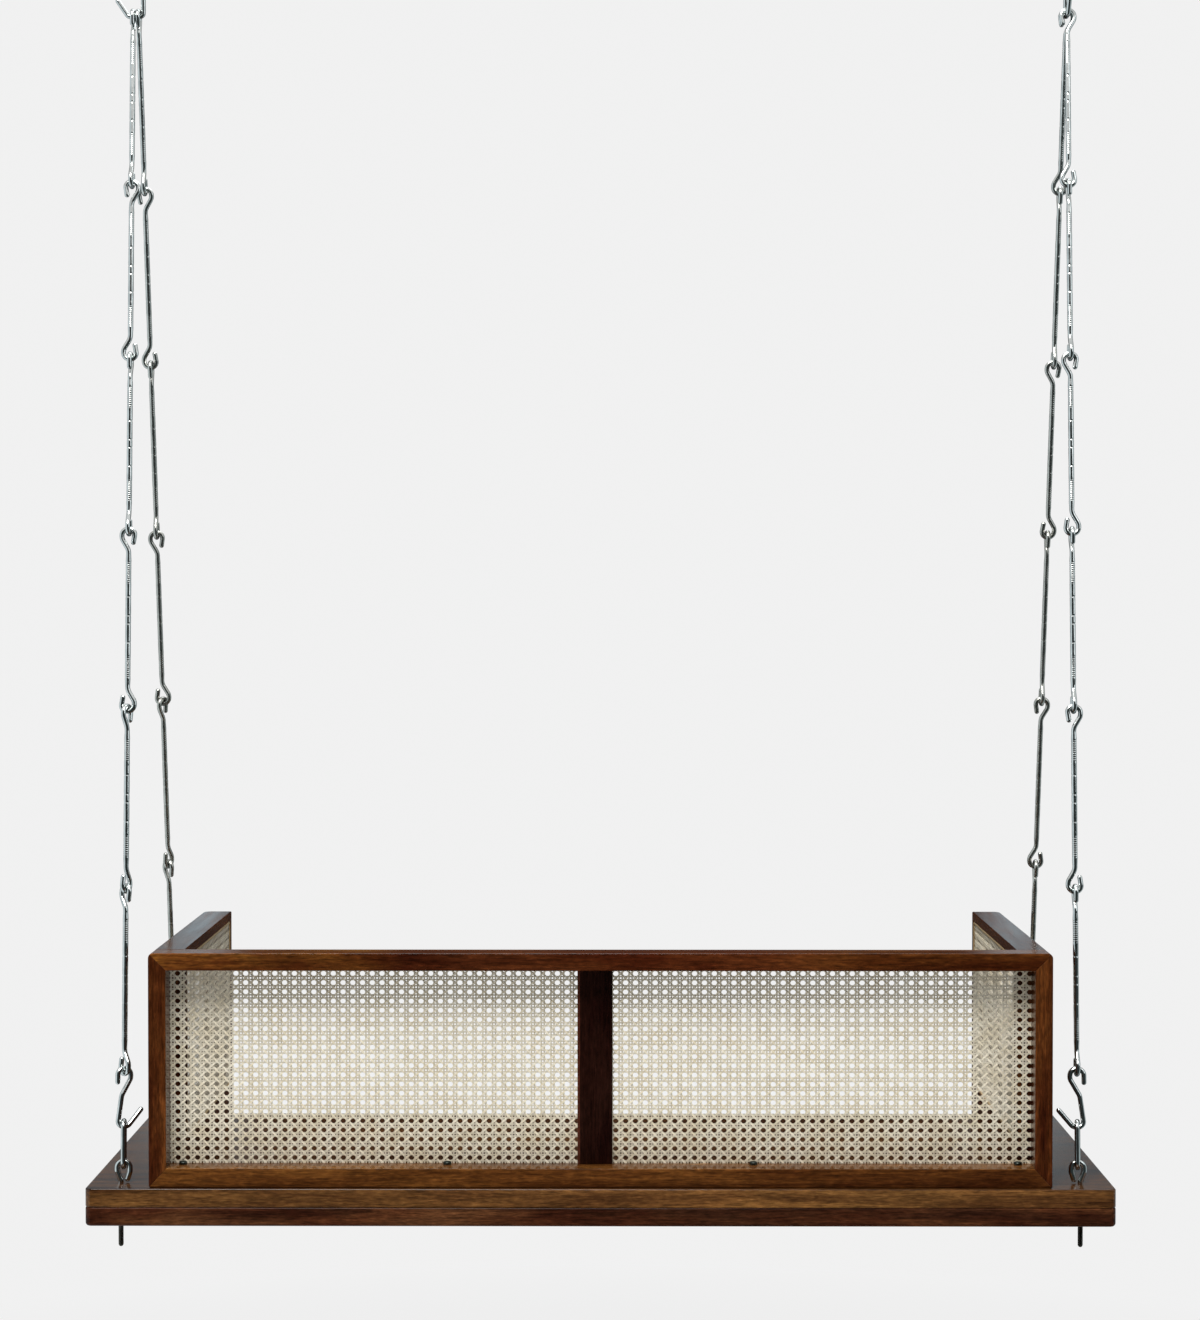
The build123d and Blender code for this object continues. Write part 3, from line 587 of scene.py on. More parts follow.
def grain_patterns(tree, coords, along, shift):
    """The patterns in the grain: noise on coordinates squeezed along it, so it draws out to streaks.

    Broad bands of growth and finer fibres sway a little, patches and heartwood shade whole
    stretches, pores are short and dark, and flecks are short lighter dashes.
    """
    squeeze, loose = [1.0] * 3, [1.0] * 3
    squeeze["XYZ".index(along)] = 0.07
    loose["XYZ".index(along)] = 0.30
    streaks = mapped(tree, coords, squeeze, (shift, shift * 1.7, shift * 0.6))
    dashes = mapped(tree, coords, loose, (shift * 2.3, shift, -shift))
    sway = noise(tree, streaks, 9.0, 2.0, output="Color")
    sway = add_node(tree, "ShaderNodeVectorMath", {0: sway, 1: grey(0.5)}, operation="SUBTRACT").outputs[0]
    swayed = add_node(tree, "ShaderNodeVectorMath", {0: sway, 1: grey(0.05), 2: streaks},
                      operation="MULTIPLY_ADD").outputs[0]
    return {
        "bands": noise(tree, swayed, 46.0, 5.0, 0.62),
        "patches": noise(tree, streaks, 14.0, 2.0),
        "heart": noise(tree, dashes, 13.0, 4.0, 0.6),
        "fibres": noise(tree, swayed, 420.0, 3.0, 0.7),
        "flecks": noise(tree, dashes, 260.0, 2.0),
        "pores": noise(tree, streaks, 1500.0, 1.0),
    }


def stained_and_painted_light(tree, coords, colour, stain_and_painted_light):
    """A colour multiplied by a stain and painted light, given as an axis and tints at places along it."""
    axis, tints = stain_and_painted_light
    first, last = tints[0][0], tints[-1][0]
    share = share_between(tree, coordinate(tree, coords, axis), first, last)
    shade = ramp(tree, share, [((place - first) / (last - first), tint) for place, tint in tints])
    return tinted(tree, 1.0, colour, shade)


def wood_material(name, along, dark, light, settings, shift, stain_and_painted_light, level, heart_share):
    """Lacquered wood with its grain along one axis.

    The bands and patches set the colour between dark and light. Redder heartwood, fibres, flecks
    and pores tint it, then the stain and painted light that some pieces have. Fibres and bands dent the
    lacquer a little.
    """
    material, tree, shader = blank_material(name)
    coords = coordinates(tree)
    grain = grain_patterns(tree, coords, along, shift)
    tone = weighted(tree, grain["bands"], 0.62, grain["patches"], 0.38)
    middle = [low + (high - low) * 0.42 for low, high in zip(dark, light)]
    colour = ramp(tree, tone, [(0.34, dark), (0.47, middle), (0.56, scaled(light, 0.92)), (0.68, light)])
    shares = {"heart": settings.heartwood * heart_share, "fibres": 0.85, "flecks": 0.8, "pores": 0.8}
    for pattern, share in shares.items():
        colour = tinted(tree, share, colour, ramp(tree, grain[pattern], GRAIN_TINTS[pattern]))
    if stain_and_painted_light is not None:
        colour = stained_and_painted_light(tree, coords, colour, stain_and_painted_light)
    tree.links.new(colour, shader.inputs["Base Color"])
    smooth, rough = grey(settings.roughness * 0.8), grey(settings.roughness * 1.25)
    tree.links.new(ramp(tree, grain["bands"], [(0.3, smooth), (0.7, rough)]), shader.inputs["Roughness"])
    dent(tree, shader, weighted(tree, grain["fibres"], 0.35, grain["bands"], 0.8), 0.18, 0.0006)
    shader.inputs["Specular IOR Level"].default_value = level
    return material


def cane_material(name, colour):
    """Peeled cane: pale strands with long fine streaks, slightly uneven from strand to strand."""
    material, tree, shader = blank_material(name)
    streaks = noise(tree, mapped(tree, coordinates(tree, "UV"), (14.0, 900.0, 1.0)), 1.0, 3.0)
    patches = noise(tree, coordinates(tree), 38.0, 3.0)
    shades = [(0.30, scaled(colour, 0.78)), (0.55, colour), (0.80, scaled(colour, 1.12))]
    worn = ramp(tree, patches, [(0.35, (0.88, 0.84, 0.76)), (0.60, PLAIN)])
    tree.links.new(tinted(tree, 0.8, ramp(tree, streaks, shades), worn), shader.inputs["Base Color"])
    dent(tree, shader, streaks, 0.3, 0.0002)
    shader.inputs["Roughness"].default_value = 0.5
    shader.inputs["Specular IOR Level"].default_value = 0.35
    return material


def steel_material(name, colour, roughness, spots=0.25, dark_below=None):
    """Plated steel: bright metal, a little cloudy, with fine scratches in its roughness.

    Towards the front of the swing the plating is rougher, and its colour darker as painted shade. Below a
    given height it is dark and oily, as the threads of the bolts are.
    """
    # How far towards the front the steel grows rougher and takes on its painted shade.
    rougher_and_shaded_y = 0.12
    material, tree, shader = blank_material(name)
    coords = coordinates(tree)
    forward = coordinate(tree, coords, "Y")
    shade = ramp(tree, noise(tree, coords, 55.0, 4.0), [(0.30, scaled(colour, 1 - spots)), (0.62, colour)])
    # Painted shade: the colour darkens towards the front of the swing.
    shade = tinted(tree, 1.0, shade, ramp(tree, forward, [(0.0, PLAIN), (rougher_and_shaded_y, (0.74, 0.71, 0.67))]))
    if dark_below is not None:
        below = math_node(tree, "LESS_THAN", coordinate(tree, coords, "Z"), dark_below)
        shade = mixed(tree, below, shade, (0.105, 0.100, 0.085))
    tree.links.new(shade, shader.inputs["Base Color"])
    smooth, scratched = grey(roughness * 0.7), grey(roughness * 1.4)
    rough = ramp(tree, noise(tree, coords, 900.0, 3.0), [(0.3, smooth), (0.7, scratched)])
    rough = tinted(tree, 1.0, rough, ramp(tree, forward, [(0.0, PLAIN), (rougher_and_shaded_y, grey(2.4))]))
    tree.links.new(rough, shader.inputs["Roughness"])
    shader.inputs["Metallic"].default_value = 1.0
    shader.inputs["Specular Tint"].default_value = (0.35, 0.37, 0.38, 1)
    return material


def dress(node, material):
    """Gives a CAD node's object a material."""
    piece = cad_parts[node]
    if not piece.material_slots:
        piece.data.materials.append(material)
    for place in piece.material_slots:
        place.material = material


# ---------------------------------------------------------------- wood
def painted_top_light(node, depth, tint):
    """Painted light on a member's top face: a tint of painted shade or a painted highlight, which reaches a
    small depth down its sides.
    """
    edge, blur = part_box(node)[1][2] - depth, 0.0002
    return "Z", [(edge, PLAIN), (edge + blur, tint)]


def wood_stains_and_painted_light():
    """The tinted faces: painted light on some tops, painted shade on the centre stile right of a narrow strip
    at its left edge, and the top rail's lighter ends.
    """
    # The width of the centre stile's strip without painted shade, and the blur at its edge.
    unshaded_strip, blur = 0.0035, 0.0004
    centre_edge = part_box("back_centre_stile")[0][0] + unshaded_strip
    return {
        # Painted shade: the seat board's top face is darkened.
        "seat_board": painted_top_light("seat_board", 0.0015, (0.42, 0.37, 0.34)),
        # Painted shade: the centre stile is darkened right of a narrow strip at its left edge.
        "back_centre_stile": ("X", [(centre_edge, PLAIN), (centre_edge + blur, (0.25, 0.27, 0.30))]),
        "back_top_rail": ("X", [
            (-0.66, (1.9, 2.5, 2.0)), (-0.36, (1.5, 1.8, 1.4)), (-0.29, (0.72, 0.60, 0.72)),
            (0.24, (0.62, 0.48, 0.58)), (0.40, (0.80, 0.78, 0.70)), (0.66, (1.2, 1.3, 1.1))]),
        # Painted highlight: the bottom rail's top face is lighter and bluer, as if lit from above.
        "back_bottom_rail": painted_top_light("back_bottom_rail", 0.0010, (1.25, 1.40, 1.50)),
        # Painted shade: the arms' top faces are darkened.
        "left_arm_top_rail": painted_top_light("left_arm_top_rail", 0.0012, (0.50, 0.46, 0.50)),
        "right_arm_top_rail": painted_top_light("right_arm_top_rail", 0.0012, (0.50, 0.46, 0.50)),
    }


class SwingDressWood(Operator):
    """Gives every wooden piece its own run of lacquered grain"""

    bl_idname = "swing.dress_wood"
    bl_label = "Dress the wood"

    def execute(self, context):
        wood = context.scene.swing_wood
        board = (wood.board_dark, wood.board_light)
        lower = (wood.lower_dark, wood.lower_light)
        caned = (wood.frame_dark, wood.frame_light)
        rail = (wood.rail_dark, wood.rail_light)
        centre = (wood.centre_dark, scaled(wood.centre_dark, 1.8))
        glossy, soft, faint = 0.25, 0.12, 0.08
        plan = {
            "seat_board": ("X", board, glossy),
            "seat_rear_rail": ("X", lower, faint),
            "seat_front_rail": ("X", lower, faint),
            "seat_left_rail": ("Y", lower, faint),
            "seat_right_rail": ("Y", lower, faint),
            "seat_battens": ("Y", lower, faint),
            "back_top_rail": ("X", caned, soft),
            "back_bottom_rail": ("X", rail, soft),
            "back_left_stile": ("Z", caned, soft),
            "back_right_stile": ("Z", caned, soft),
            "back_centre_stile": ("Z", centre, soft),
            "arm_dowels": ("Y", caned, glossy),
        }
        for side in SIDES:
            plan[f"{side}_arm_top_rail"] = ("Y", caned, glossy)
            plan[f"{side}_arm_bottom_rail"] = ("Y", caned, glossy)
            plan[f"{side}_arm_front_stile"] = ("Z", caned, glossy)
            plan[f"{side}_arm_rear_stile"] = ("Z", caned, glossy)
        stains_and_painted_light = wood_stains_and_painted_light()
        for place, (node, (along, (dark, light), level)) in enumerate(plan.items()):
            heart_share = 0.3 if node in ("seat_board", "back_bottom_rail") else 1.0
            dress(node, wood_material(f"{node}_wood", along, tuple(dark), tuple(light), wood, 0.37 * place,
                                      stains_and_painted_light.get(node), level, heart_share))
        return {"FINISHED"}


# ---------------------------------------------------------------- cane
def strips(centre, across, normal, strand, width, thickness):
    """Flat strips: each point of each strand carries a rectangle, width by thickness.

    strand numbers each point's strand, and the points of one strand follow each other. A quad
    joins each side of one rectangle to the next one's where both are of the same strand.
    """
    corner_across = np.array([-0.5, 0.5, 0.5, -0.5])[:, None] * width
    corner_normal = np.array([-0.5, -0.5, 0.5, 0.5])[:, None] * thickness
    points = centre[:, None] + across * corner_across + normal * corner_normal
    index = np.arange(len(centre) * 4).reshape(-1, 4)
    same = strand[1:] == strand[:-1]
    here, there = index[:-1][same], index[1:][same]
    sides = [np.stack([here[:, k], here[:, (k + 1) % 4], there[:, (k + 1) % 4], there[:, k]], axis=-1)
             for k in range(4)]
    starts = np.concatenate([[True], ~same])
    stops = np.concatenate([~same, [True]])
    faces = np.concatenate(sides + [index[starts][:, ::-1], index[stops]])
    return points.reshape(-1, 3), faces


def level_strands(size, cane, pitch, phase):
    """Level strands in pairs: each weaves back behind one upright of a pair and over the other.

    Its height above the sheet's middle is minus a sine of one pitch.
    """
    points_per_pitch, wave = 6, 0.00022
    rows = np.arange(phase[1], size[1], pitch[1])
    heights = np.sort(np.concatenate([rows - cane.pair_gap / 2, rows + cane.pair_gap / 2]))
    heights = heights[(heights > cane.strand_width) & (heights < size[1] - cane.strand_width)]
    stations = np.linspace(0, size[0], int(size[0] / pitch[0] * points_per_pitch))
    u, v = np.meshgrid(stations, heights)
    w = -wave * np.sin(2 * np.pi * (u - phase[0]) / pitch[0])
    strand = np.repeat(np.arange(len(heights)), len(stations))
    return u.ravel(), v.ravel(), w.ravel(), strand


def upright_strands(size, cane, pitch, phase):
    """Upright strands in pairs, one of each pair in front of the level strands and one behind."""
    offset = 0.00036
    columns = np.arange(phase[0], size[0], pitch[0])
    places = np.stack([columns - cane.pair_gap / 2, columns + cane.pair_gap / 2], axis=-1)
    depth = np.broadcast_to([-offset, offset], places.shape)
    inside = (places > cane.strand_width) & (places < size[0] - cane.strand_width)
    places, depth = places[inside], depth[inside]
    v = np.broadcast_to([0.0, size[1]], (len(places), 2))
    u = np.broadcast_to(places[:, None], v.shape)
    w = np.broadcast_to(depth[:, None], v.shape)
    return u.ravel(), v.ravel(), w.ravel(), np.repeat(np.arange(len(places)), 2)


def diagonal_strands(size, pitch, phase, slope):
    """Diagonal strands of one slope, half a pitch beside the crossings of the pairs.

    A strand runs one pitch up for each pitch across. It passes over the level pairs and under the
    upright ones, or the other way round for the other slope, so its height is a cosine of one
    pitch, flattened on top and below.
    """
    shortest, points_per_pitch, flattening, lift, swing = 0.3, 8, 1.5, 0.00010, 0.00058
    pu, pv = pitch
    wide, tall = (size[0] - phase[0]) / pu, (size[1] - phase[1]) / pv
    low_u, low_v = -phase[0] / pu, -phase[1] / pv
    if slope > 0:
        offsets = np.arange(math.floor(low_v - wide), math.ceil(tall - low_u) + 1) + 0.5
        start = np.maximum(low_u, low_v - offsets)
        stop = np.minimum(wide, tall - offsets)
    else:
        offsets = np.arange(math.floor(low_v + low_u), math.ceil(tall + wide) + 1) + 0.5
        start = np.maximum(low_u, offsets - tall)
        stop = np.minimum(wide, offsets - low_v)
    keep = stop - start > shortest
    offsets, start, stop = offsets[keep], start[keep], stop[keep]
    counts = np.ceil((stop - start) * points_per_pitch).astype(int) + 1
    strand = np.repeat(np.arange(len(offsets)), counts)
    first = np.repeat(np.cumsum(counts) - counts, counts)
    share = (np.arange(len(strand)) - first) / np.repeat(counts - 1, counts)
    a = start[strand] + (stop - start)[strand] * share
    b = offsets[strand] + slope * a
    wave = np.clip(flattening * np.cos(2 * np.pi * a), -1, 1)
    w = -slope * (lift + swing * wave)
    return a * pu + phase[0], b * pv + phase[1], w, strand


def lay_out(origin, axes, u, v, w):
    """Points of a sheet: the origin plus u, v and w along its three axes."""
    return origin + u[:, None] * axes[0] + v[:, None] * axes[1] + w[:, None] * axes[2]


def cane_sheet(node, across, inward):
    """A panel's outer corner, its axes (across, up and inward) and its size, from its CAD sheet."""
    low, high = (np.array(corner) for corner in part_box(node))
    axes = np.array([across, (0, 0, 1.0), inward])
    corner = np.where(axes.sum(axis=0) < 0, high, low) + (axes[0] + axes[1]) * CANE_INSET
    size = tuple(axes[:2] @ (high - low) - 2 * CANE_INSET)
    return corner, axes, size


def woven_piece(name, node, runs, width, thickness, steps, material):
    """One piece of strands that run one or two ways.

    A run is its strands' points, each point's strand, the directions across and through a strand,
    and each point's distance along. In the UV map, U is that distance and V the distance across,
    both moved on by a step from strand to strand, so that no two show the same streaks.
    """
    points, faces, uv, count = [], [], [], 0
    for centre, strand, across, inward, along in runs:
        corners, quads = strips(centre, across, inward, strand, width, thickness)
        u = np.repeat(along + strand * steps[0], 4)
        v = np.tile([0, width, width, 0], len(centre)) + np.repeat(strand * steps[1], 4)
        points.append(corners)
        faces.append(quads + count)
        uv.append(np.stack([u, v], axis=-1))
        count += len(corners)
    piece = make_object(name, np.concatenate(points), [np.concatenate(faces)], material, smooth=False,
                        uv=np.concatenate(uv))
    place_piece(piece, "seat", node)


def weave(node, sheet, cane, pitch, hole, materials):
    """One panel of six-way weave in two pieces: the upright and level strands, and the diagonals.

    hole is the place of any one hole's middle: pairs of strands cross half a pitch beside it.
    """
    straight_steps, diagonal_steps, diagonal_stretch = (0.731, 0.013), (0.913, 0.017), 1.37
    corner, axes, size = sheet
    origin = corner + axes[2] * SHEET / 2
    phase = ((hole[0] + pitch[0] / 2) % pitch[0], (hole[1] + pitch[1] / 2) % pitch[1])
    straight, diagonal = [], []
    for maker, way in ((level_strands, 0), (upright_strands, 1)):
        u, v, w, strand = maker(size, cane, pitch, phase)
        straight.append((lay_out(origin, axes, u, v, w), strand, axes[1 - way], axes[2], (u, v)[way]))
    for slope in (1, -1):
        u, v, w, strand = diagonal_strands(size, pitch, phase, slope)
        along = axes[0] * pitch[0] + axes[1] * pitch[1] * slope
        across = np.cross(axes[2], along / np.linalg.norm(along))
        diagonal.append((lay_out(origin, axes, u, v, w), strand, across, axes[2],
                         u * diagonal_stretch))
    woven_piece(f"{node}_straight_strands", node, straight, cane.strand_width, cane.strand_thickness,
                straight_steps, materials[0])
    woven_piece(f"{node}_diagonal_strands", node, diagonal, cane.diagonal_width, cane.strand_thickness,
                diagonal_steps, materials[1])


def reed_spline(node, sheet, material):
    """The reed round a panel: a low arch carried round a rectangle with rounded corners.

    The arch's height at x across it, from -1 to 1, is its full height times the square root of
    1 - x^2, raised to three quarters, over a flat foot that is a little narrower.
    """
    corner, axes, size = sheet
    width, height, radius, foot = 0.0048, 0.00155, 0.0045, 0.97
    across = np.linspace(-1, 1, 7)
    arch = height * (1 - across ** 2) ** 0.375
    profile_out = np.concatenate([across, [foot, -foot]]) * width / 2
    profile_up = np.concatenate([arch, [0.0, 0.0]])
    half_u, half_v = size[0] / 2 - width / 2, size[1] / 2 - width / 2
    angle = np.linspace(0, np.pi / 2, 5) + np.arange(4)[:, None] * np.pi / 2
    u = np.array([[1], [-1], [-1], [1]]) * (half_u - radius) + radius * np.cos(angle)
    v = np.array([[1], [1], [-1], [-1]]) * (half_v - radius) + radius * np.sin(angle)
    u, v, angle = u.ravel(), v.ravel(), angle.ravel()
    out_u = size[0] / 2 + u[:, None] + np.cos(angle)[:, None] * profile_out
    out_v = size[1] / 2 + v[:, None] + np.sin(angle)[:, None] * profile_out
    up = np.broadcast_to(profile_up, out_u.shape)
    points = lay_out(corner + axes[2] * SHEET, axes, out_u.ravel(), out_v.ravel(), up.ravel())
    far = np.cumsum(np.hypot(np.diff(u, prepend=u[-1]), np.diff(v, prepend=v[-1])))
    uv = np.stack([np.repeat(far, len(profile_out)), np.tile(profile_out, len(u))], axis=-1)
    faces = skin((len(u), len(profile_out)), closed_along=True)
    piece = make_object(node.replace("cane", "reed_spline"), points, faces, material, uv=uv)
    place_piece(piece, "seat", node)


class SwingWeaveCane(Operator):
    """Weaves the four cane panels and presses a reed spline round each"""

    bl_idname = "swing.weave_cane"
    bl_label = "Weave the cane"

    def execute(self, context):
        cane = context.scene.swing_cane
        # Painted light: one cane colour in two copies, the straight strands darkened as painted shade and the
        # diagonal ones lightened as a painted highlight.
        straight_painted_shade, diagonal_painted_light = 0.88, 1.16
        strands = (cane_material("woven_cane_straight", scaled(cane.colour, straight_painted_shade)),
                   cane_material("woven_cane_diagonal", scaled(cane.colour, diagonal_painted_light)))
        reed = cane_material("reed_spline", tuple(cane.spline_colour))
        for side, sign in SIDES.items():
            hole_x, pitch_across = BACK_WEAVE[side]
            back = cane_sheet(f"back_{side}_cane", (1.0, 0, 0), (0, 1.0, 0))
            hole = (hole_x - back[0][0], CANE_LAP + cane.first_hole)
            weave(f"back_{side}_cane", back, cane, (pitch_across, cane.pitch_up), hole, strands)
            reed_spline(f"back_{side}_cane", back, reed)
            arm = cane_sheet(f"{side}_arm_cane", (0, 1.0, 0), (-sign, 0, 0))
            hole = (arm[2][0] / 2, arm[2][1] / 2)
            weave(f"{side}_arm_cane", arm, cane, (cane.pitch_across, cane.pitch_up), hole, strands)
            reed_spline(f"{side}_arm_cane", arm, reed)
        return {"FINISHED"}


# ---------------------------------------------------------------- rods, hooks and rings
def rod_path(chain, reach):
    """The rod's centre line, from the free end of its top hook to that of its bottom hook."""
    grip = (chain.wire + chain.play) / 2
    top, bottom, wide = grip, -reach - grip, chain.hook_half_width
    tip, tip_rise, side_rise, neck_rise, arc_step = wide - 0.004, 0.025, 0.015, 0.033, 0.0012
    points = [(-tip, top - tip_rise), (-wide, top), (wide, top), (wide, top - side_rise),
              (0, top - neck_rise), (0, bottom + neck_rise),
              (-wide, bottom + side_rise), (-wide, bottom), (wide, bottom), (tip, bottom + tip_rise)]
    bends = [wide * share for share in (0.85, 0.98, 1.3, 1.9)]
    return bent_path(points, bends + bends[::-1], arc_step)


def rolled_share(chain, reach, line, stations):
    """What is left of a rod's radius: rolled ribs, rings and twisted flats between its plain hooks.

    The share is one minus what is cut away, and a seventh more between the hooks. Ribs are a
    raised cosine of the distance from the nearer contact, rings are narrow bells, and four
    shallow flats turn evenly with the distance along the rod.
    """
    ribs_from, ribs_to, ribs_fade, rib_pitch, rib_depth = 0.045, 0.082, 0.004, 0.0032, 0.09
    ring_places, ring_width, ring_depth = (0.101, 0.130), 0.0011, 0.09
    flats_from, flats_fade, flat_depth, turn_per_metre = 0.084, 0.003, 0.013, 35.0
    swell_from, swell_fade, swell = 0.036, 0.010, 0.14
    straight = np.abs(line[:, 0]) < chain.wire / 2
    down = np.where(straight, -line[:, 1], -1.0)
    from_end = reach / 2 - np.abs(down - reach / 2)
    fade = np.clip(np.minimum(from_end - ribs_from, ribs_to - from_end) / ribs_fade, 0, 1)
    ribs = fade * (0.5 + 0.5 * np.cos(2 * np.pi * from_end / rib_pitch)) * rib_depth
    rings = sum(np.exp(-((from_end - place) / ring_width) ** 2) * ring_depth for place in ring_places)
    angles = np.linspace(0, 2 * np.pi, chain.sides, endpoint=False)
    twist = np.cumsum(np.gradient(stations)) * turn_per_metre
    flat_zone = np.clip((from_end - flats_from) / flats_fade, 0, 1)
    flats = (1 - np.cos(4 * (angles + twist[:, None]))) * flat_depth * flat_zone[:, None]
    thicker = 1 + swell * np.clip((from_end - swell_from) / swell_fade, 0, 1)
    return (1 - ribs[:, None] - rings[:, None] - flats) * thicker[:, None]


def rod_surface(chain, reach):
    """A rod: its centre line carries rings of its rolled radius, with a dome over each end."""
    coarse, far = rod_path(chain, reach)
    length, radius = far[-1], chain.wire / 2
    stations = rounded_stations(length, radius, ROD_STEP)
    line = resampled(coarse, far, stations)
    surface = dome_radius(stations, length, radius)[:, None] * rolled_share(chain, reach, line, stations)
    return wire_surface(line, surface), surface.shape


def s_hook_surface(chain, kink, seat, bends):
    """An S-hook: a small upper loop, a long shank with a kink and a wide lower hook.

    A plain wire with domed ends along straight runs and arcs.
    """
    grip = (chain.wire + chain.play) / 2
    top, bottom, wide = grip, -chain.s_hook_reach - grip, chain.hook_half_width
    upper_drop, lip_x, lip_rise = 0.024, -0.030, 0.027
    points = [(wide, top - upper_drop), (wide, top), (-wide, top), (-wide, top - 1.45 * wide),
              (kink[0], bottom + kink[1]), (seat[1], bottom), (seat[0], bottom), (lip_x, bottom + lip_rise)]
    loop = wide * 0.98
    coarse, far = bent_path(points, [loop, loop, wide * 1.1, wide * 1.9, *bends], WIRE_STEP)
    stations = rounded_stations(far[-1], chain.wire / 2, WIRE_STEP)
    dome = dome_radius(stations, far[-1], chain.wire / 2)
    surface = np.repeat(dome[:, None], chain.sides, axis=1)
    return wire_surface(resampled(coarse, far, stations), surface), surface.shape


def ring_surface(chain, half_width, top, bottom):
    """A closed ring in the XZ plane: two half circles joined by straight sides, as a tube."""
    straight = max(top - bottom - 2 * half_width, 0)
    arc = np.linspace(0, np.pi, 37)
    upper = np.stack([half_width * np.cos(arc), straight / 2 + half_width * np.sin(arc)], axis=-1)
    if straight < 1e-6:
        upper = upper[:-1]
    line = np.concatenate([upper, -upper]) + [0, (top + bottom) / 2]
    tangent = np.roll(line, -1, axis=0) - np.roll(line, 1, axis=0)
    surface = np.full((len(line), chain.sides), chain.wire / 2)
    return tube(line, tangent, surface), surface.shape


def metal_piece(name, body, node, surfaces, material, closed=False):
    """One object of one or more wires, riding on its body in place of its CAD node."""
    points, faces, count = [], [], 0
    for surface, rings in surfaces:
        faces += skin(rings, closed_along=closed, offset=count)
        points.append(surface)
        count += len(surface)
    piece = make_object(name, np.concatenate(points), faces, material)
    place_piece(piece, body, node)


class SwingMakeRods(Operator):
    """Makes the chains' rods, with their hooks, rolled ribs and twisted flats"""

    bl_idname = "swing.make_rods"
    bl_label = "Make the rods"

    def execute(self, context):
        chain = context.scene.swing_chain
        material = steel_material("rod_steel", tuple(chain.plating), chain.rod_roughness)
        for side in SIDES:
            for place in range(chain.rods):
                surfaces = []
                for end in ENDS:
                    reach, points = chain_points(chain, side, end)
                    surface, rings = rod_surface(chain, reach)
                    spot = hung(surface, points[place], points[place + 1], ROD_TURNS[side][place])
                    surfaces.append((spot, rings))
                name = f"{side}_rods_{place + 1}"
                metal_piece(f"{name}_rolled", f"{side}_chains", name, surfaces, material)
        return {"FINISHED"}


class SwingMakeHooks(Operator):
    """Makes the S-hooks at the top and the bottom of the chains"""

    bl_idname = "swing.make_hooks"
    bl_label = "Make the S-hooks"

    def execute(self, context):
        chain = context.scene.swing_chain
        material = steel_material("hook_steel", tuple(chain.plating), chain.rod_roughness)
        sway, rods_top = levels(chain)
        top_hook = s_hook_surface(chain, *TOP_HOOK_SHAPE)
        low_hook = s_hook_surface(chain, *BOTTOM_HOOK_SHAPE)
        for side, sign in SIDES.items():
            body, x = f"{side}_chains", sign * chain.hanger_x
            spot = hung(top_hook[0], (x, 0, sway), (x, 0, rods_top), TOP_HOOK_TURNS[side])
            metal_piece(f"{side}_top_s_hook", body, f"{side}_top_hook", [(spot, top_hook[1])], material)
            for end in ENDS:
                points = chain_points(chain, side, end)[1]
                spot = hung(low_hook[0], points[-3], points[-2], BOTTOM_HOOK_TURNS[side])
                metal_piece(f"{side}_{end}_s_hook", body, f"{side}_{end}_hook", [(spot, low_hook[1])],
                            material)
        return {"FINISHED"}


class SwingMakeRings(Operator):
    """Makes the oval rings over the eye bolts and the round rings under the ceiling"""

    bl_idname = "swing.make_rings"
    bl_label = "Make the rings"

    def execute(self, context):
        chain = context.scene.swing_chain
        material = steel_material("ring_steel", tuple(chain.plating), chain.rod_roughness)
        grip, oval_half_width = (chain.wire + chain.play) / 2, 0.011
        sway = levels(chain)[0]
        top, bottom = (chain.wire + chain.swing_play) / 2, -chain.round_reach - grip
        round_ring = ring_surface(chain, (top - bottom) / 2, top, bottom)
        oval_ring = ring_surface(chain, oval_half_width, grip, -chain.oval_reach - grip)
        for side, sign in SIDES.items():
            x = sign * chain.hanger_x
            spot = hung(round_ring[0], (x, 0, chain.swing_axis), (x, 0, sway), ROUND_RING_TURNS[side])
            metal_piece(f"{side}_round_ring", "top_rings", f"{side}_top_ring", [(spot, round_ring[1])],
                        material, closed=True)
            for end in ENDS:
                points = chain_points(chain, side, end)[1]
                spot = hung(oval_ring[0], points[-2], points[-1], OVAL_RING_TURNS[side])
                metal_piece(f"{side}_{end}_oval_ring", f"{side}_chains", f"{side}_{end}_ring",
                            [(spot, oval_ring[1])], material, closed=True)
        return {"FINISHED"}


